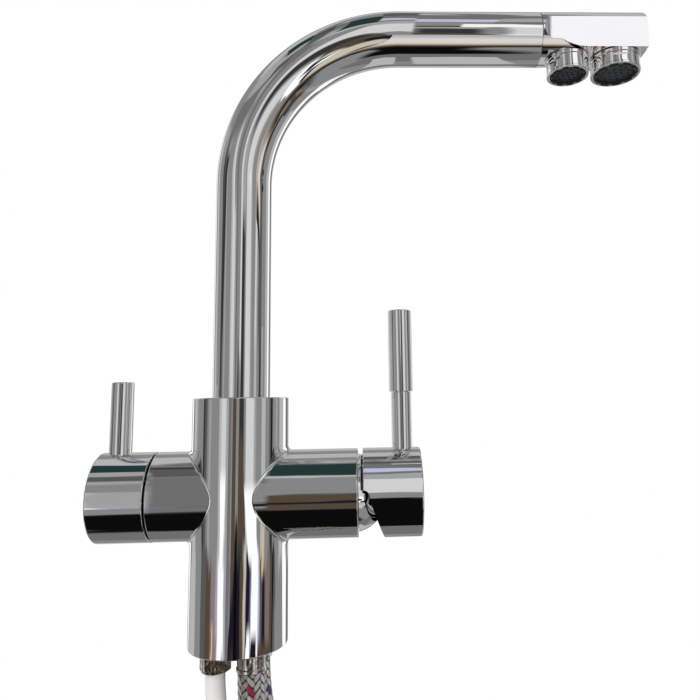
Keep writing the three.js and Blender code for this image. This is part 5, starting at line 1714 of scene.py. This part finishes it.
def crimped_ferrule(foot, top):
    """A pressed steel ferrule with a rolled lip at each end and a band of crimps."""
    radius, inner = 7.2 * MM, 3.9 * MM
    waist = radius - 0.35 * MM
    outline = [
        (inner, foot), (radius, foot, 0.4 * MM), (radius, foot + 1.6 * MM, 0.3 * MM),
        (waist, foot + 2.0 * MM, 0.2 * MM), (waist, foot + 4.2 * MM), (waist, foot + 5.4 * MM),
        (waist, foot + 6.6 * MM), (waist, foot + 7.8 * MM), (waist, top - 2.2 * MM, 0.2 * MM),
        (radius, top - 1.8 * MM, 0.3 * MM), (radius, top, 0.6 * MM), (inner, top),
    ]
    bm = turned(outline, 96)
    middle, half = foot + 6.0 * MM, 2.6 * MM
    for vert in bm.verts:
        reach = hypot(vert.co.x, vert.co.y)
        if reach > waist - 1e-6 and abs(vert.co.z - middle) < half:
            depth = (1 - ((vert.co.z - middle) / half) ** 2) * CRIMP_DEPTH
            dent = max(0.0, cos(CRIMPS * atan2(vert.co.y, vert.co.x))) * depth
            vert.co.x *= 1 - dent / reach
            vert.co.y *= 1 - dent / reach
    return bm


class TAP_OT_hose_fittings(bpy.types.Operator):
    """Builds the ferrules, tails and union nuts of the two hoses"""

    bl_idname = "tap.hose_fittings"
    bl_label = "Hose fittings"

    def execute(self, context):
        for name, route in HOSE_ROUTES.items():
            x, y, top = route[0]
            start = top + CLEAR
            fitting(crimped_ferrule(start, top + 12.8 * MM), (x, y, 0), "root", "steel",
                    f"{name}_hose_ferrule")
            tail = threaded_tail(12 * MM, 3.3 * MM, rod(3.6 * MM, start, 4.3 * MM, 48))
            tail = cut(tail, rod(2.4 * MM, top - MM, 21 * MM, 32))
            fitting(tail, (x, y, 0), "root", "brass", f"{name}_hose_tail")
            x, y, end = route[-1]
            end -= CLEAR
            fitting(crimped_ferrule(end - 16 * MM, end), (x, y, 0), "root", "steel",
                    f"{name}_hose_end_ferrule")
            fitting(self.union_nut(end - 16.3 * MM), (x, y, 0), f"{name}_nut", "brass",
                    f"{name}_union_nut")
        return {"FINISHED"}

    def union_nut(self, top):
        foot = top - 15 * MM
        bore = [(0, foot - MM), (NUT_MOUTH, foot - MM), (NUT_MOUTH, foot + 0.4 * MM)]
        for k in range(NUT_TURNS):
            height = foot + (0.8 + NUT_PITCH * k) * MM
            bore += [
                (NUT_CREST, height), (NUT_CREST, height + 0.2 * MM),
                (NUT_ROOT, height + 0.7 * MM), (NUT_ROOT, height + 0.9 * MM),
            ]
        bore += [(NUT_CREST, top - 3.6 * MM), (NUT_CREST, top - 3 * MM), (0, top - 3 * MM)]
        return cut(
            chamfered_hex(24 * MM, foot, top), turned(bore, 96, False),
            rod(4.0 * MM, foot, top + MM, 48),
        )


class TAP_OT_filter_fittings(bpy.types.Operator):
    """Builds the compression fitting and the push-in connector of the white tube"""

    bl_idname = "tap.filter_fittings"
    bl_label = "White tube fittings"

    def execute(self, context):
        x, y, _ = FILTER_ROUTE[0]
        tail = cut(threaded_tail(13 * MM, 3.7 * MM), rod(2.4 * MM, 2 * MM, 21 * MM, 32))
        fitting(tail, (x, y, 0), "root", "dark_nickel", "filter_supply_fitting",
                "filter_fitting_piece")
        foot, top = -10.4 * MM, 3.4 * MM
        nut = cut(
            chamfered_hex(13 * MM, foot, top), rod(5.06 * MM, foot - MM, top - 3 * MM, 48),
            rod(2.4 * MM, foot, top + MM, 32),
        )
        fitting(nut, (x, y, 0), "root", "dark_nickel", "filter_compression_nut",
                "filter_nut_piece")
        x, y, end = FILTER_ROUTE[-1]
        end -= CLEAR
        body = turned(hung_from(
            end, (2.4, 0), (7, 0, 0.5), (7, -0.8), (9, -0.8, 0.8), (9, -12, 0.3),
            (8.6, -12.6, 0.3), (8.6, -23.4, 0.3), (9, -24, 0.3), (9, -36, 0.8), (5.8, -36, 0.2),
            (5.8, -21), (2.4, -21),
        ), 96)
        collet = turned(hung_from(
            end, (5.06, -21.3), (5.5, -21.3), (5.5, -36.3), (7, -36.3, 0.3), (7, -37.9, 0.5),
            (5.06, -37.9, 0.2),
        ), 96)
        fitting(body, (x, y, 0), "root", "white_plastic", "filter_connector_body")
        fitting(collet, (x, y, 0), "root", "grey_plastic", "filter_connector_collet")
        return {"FINISHED"}


# ---- The add-on ----

class TAP_PT_panel(bpy.types.Panel):
    """Lists the steps that build the tap"""

    bl_idname = "TAP_PT_panel"
    bl_label = "Three way tap"
    bl_space_type = "VIEW_3D"
    bl_region_type = "UI"
    bl_category = "Tap"

    def draw(self, context):
        for operator in OPERATORS:
            self.layout.operator(operator.bl_idname)


OPERATORS = (
    TAP_OT_camera, TAP_OT_finishes, TAP_OT_stage, TAP_OT_hose_fittings, TAP_OT_filter_fittings,
    TAP_OT_hoses, TAP_OT_supply_tube, TAP_OT_body, TAP_OT_spout, TAP_OT_head, TAP_OT_aerators,
    TAP_OT_mixer_handle, TAP_OT_mixer_lever, TAP_OT_filter_handle,
)
SETTINGS = {
    "tap_body": BodySizes, "tap_spout": SpoutSizes, "tap_head": HeadSizes,
    "tap_handles": HandleSizes, "tap_pipes": PipeSizes, "tap_finishes": FinishColours,
    "tap_stage": StageSettings,
}


def register():
    for item in (*SETTINGS.values(), *OPERATORS, TAP_PT_panel):
        bpy.utils.register_class(item)
    for name, group in SETTINGS.items():
        setattr(bpy.types.Scene, name, PointerProperty(type=group))


def unregister():
    for name in SETTINGS:
        delattr(bpy.types.Scene, name)
    for item in reversed((*SETTINGS.values(), *OPERATORS, TAP_PT_panel)):
        bpy.utils.unregister_class(item)


def main():
    register()
    for operator in OPERATORS:
        group, name = operator.bl_idname.split(".")
        getattr(getattr(bpy.ops, group), name)()


if __name__ == "__main__":
    main()
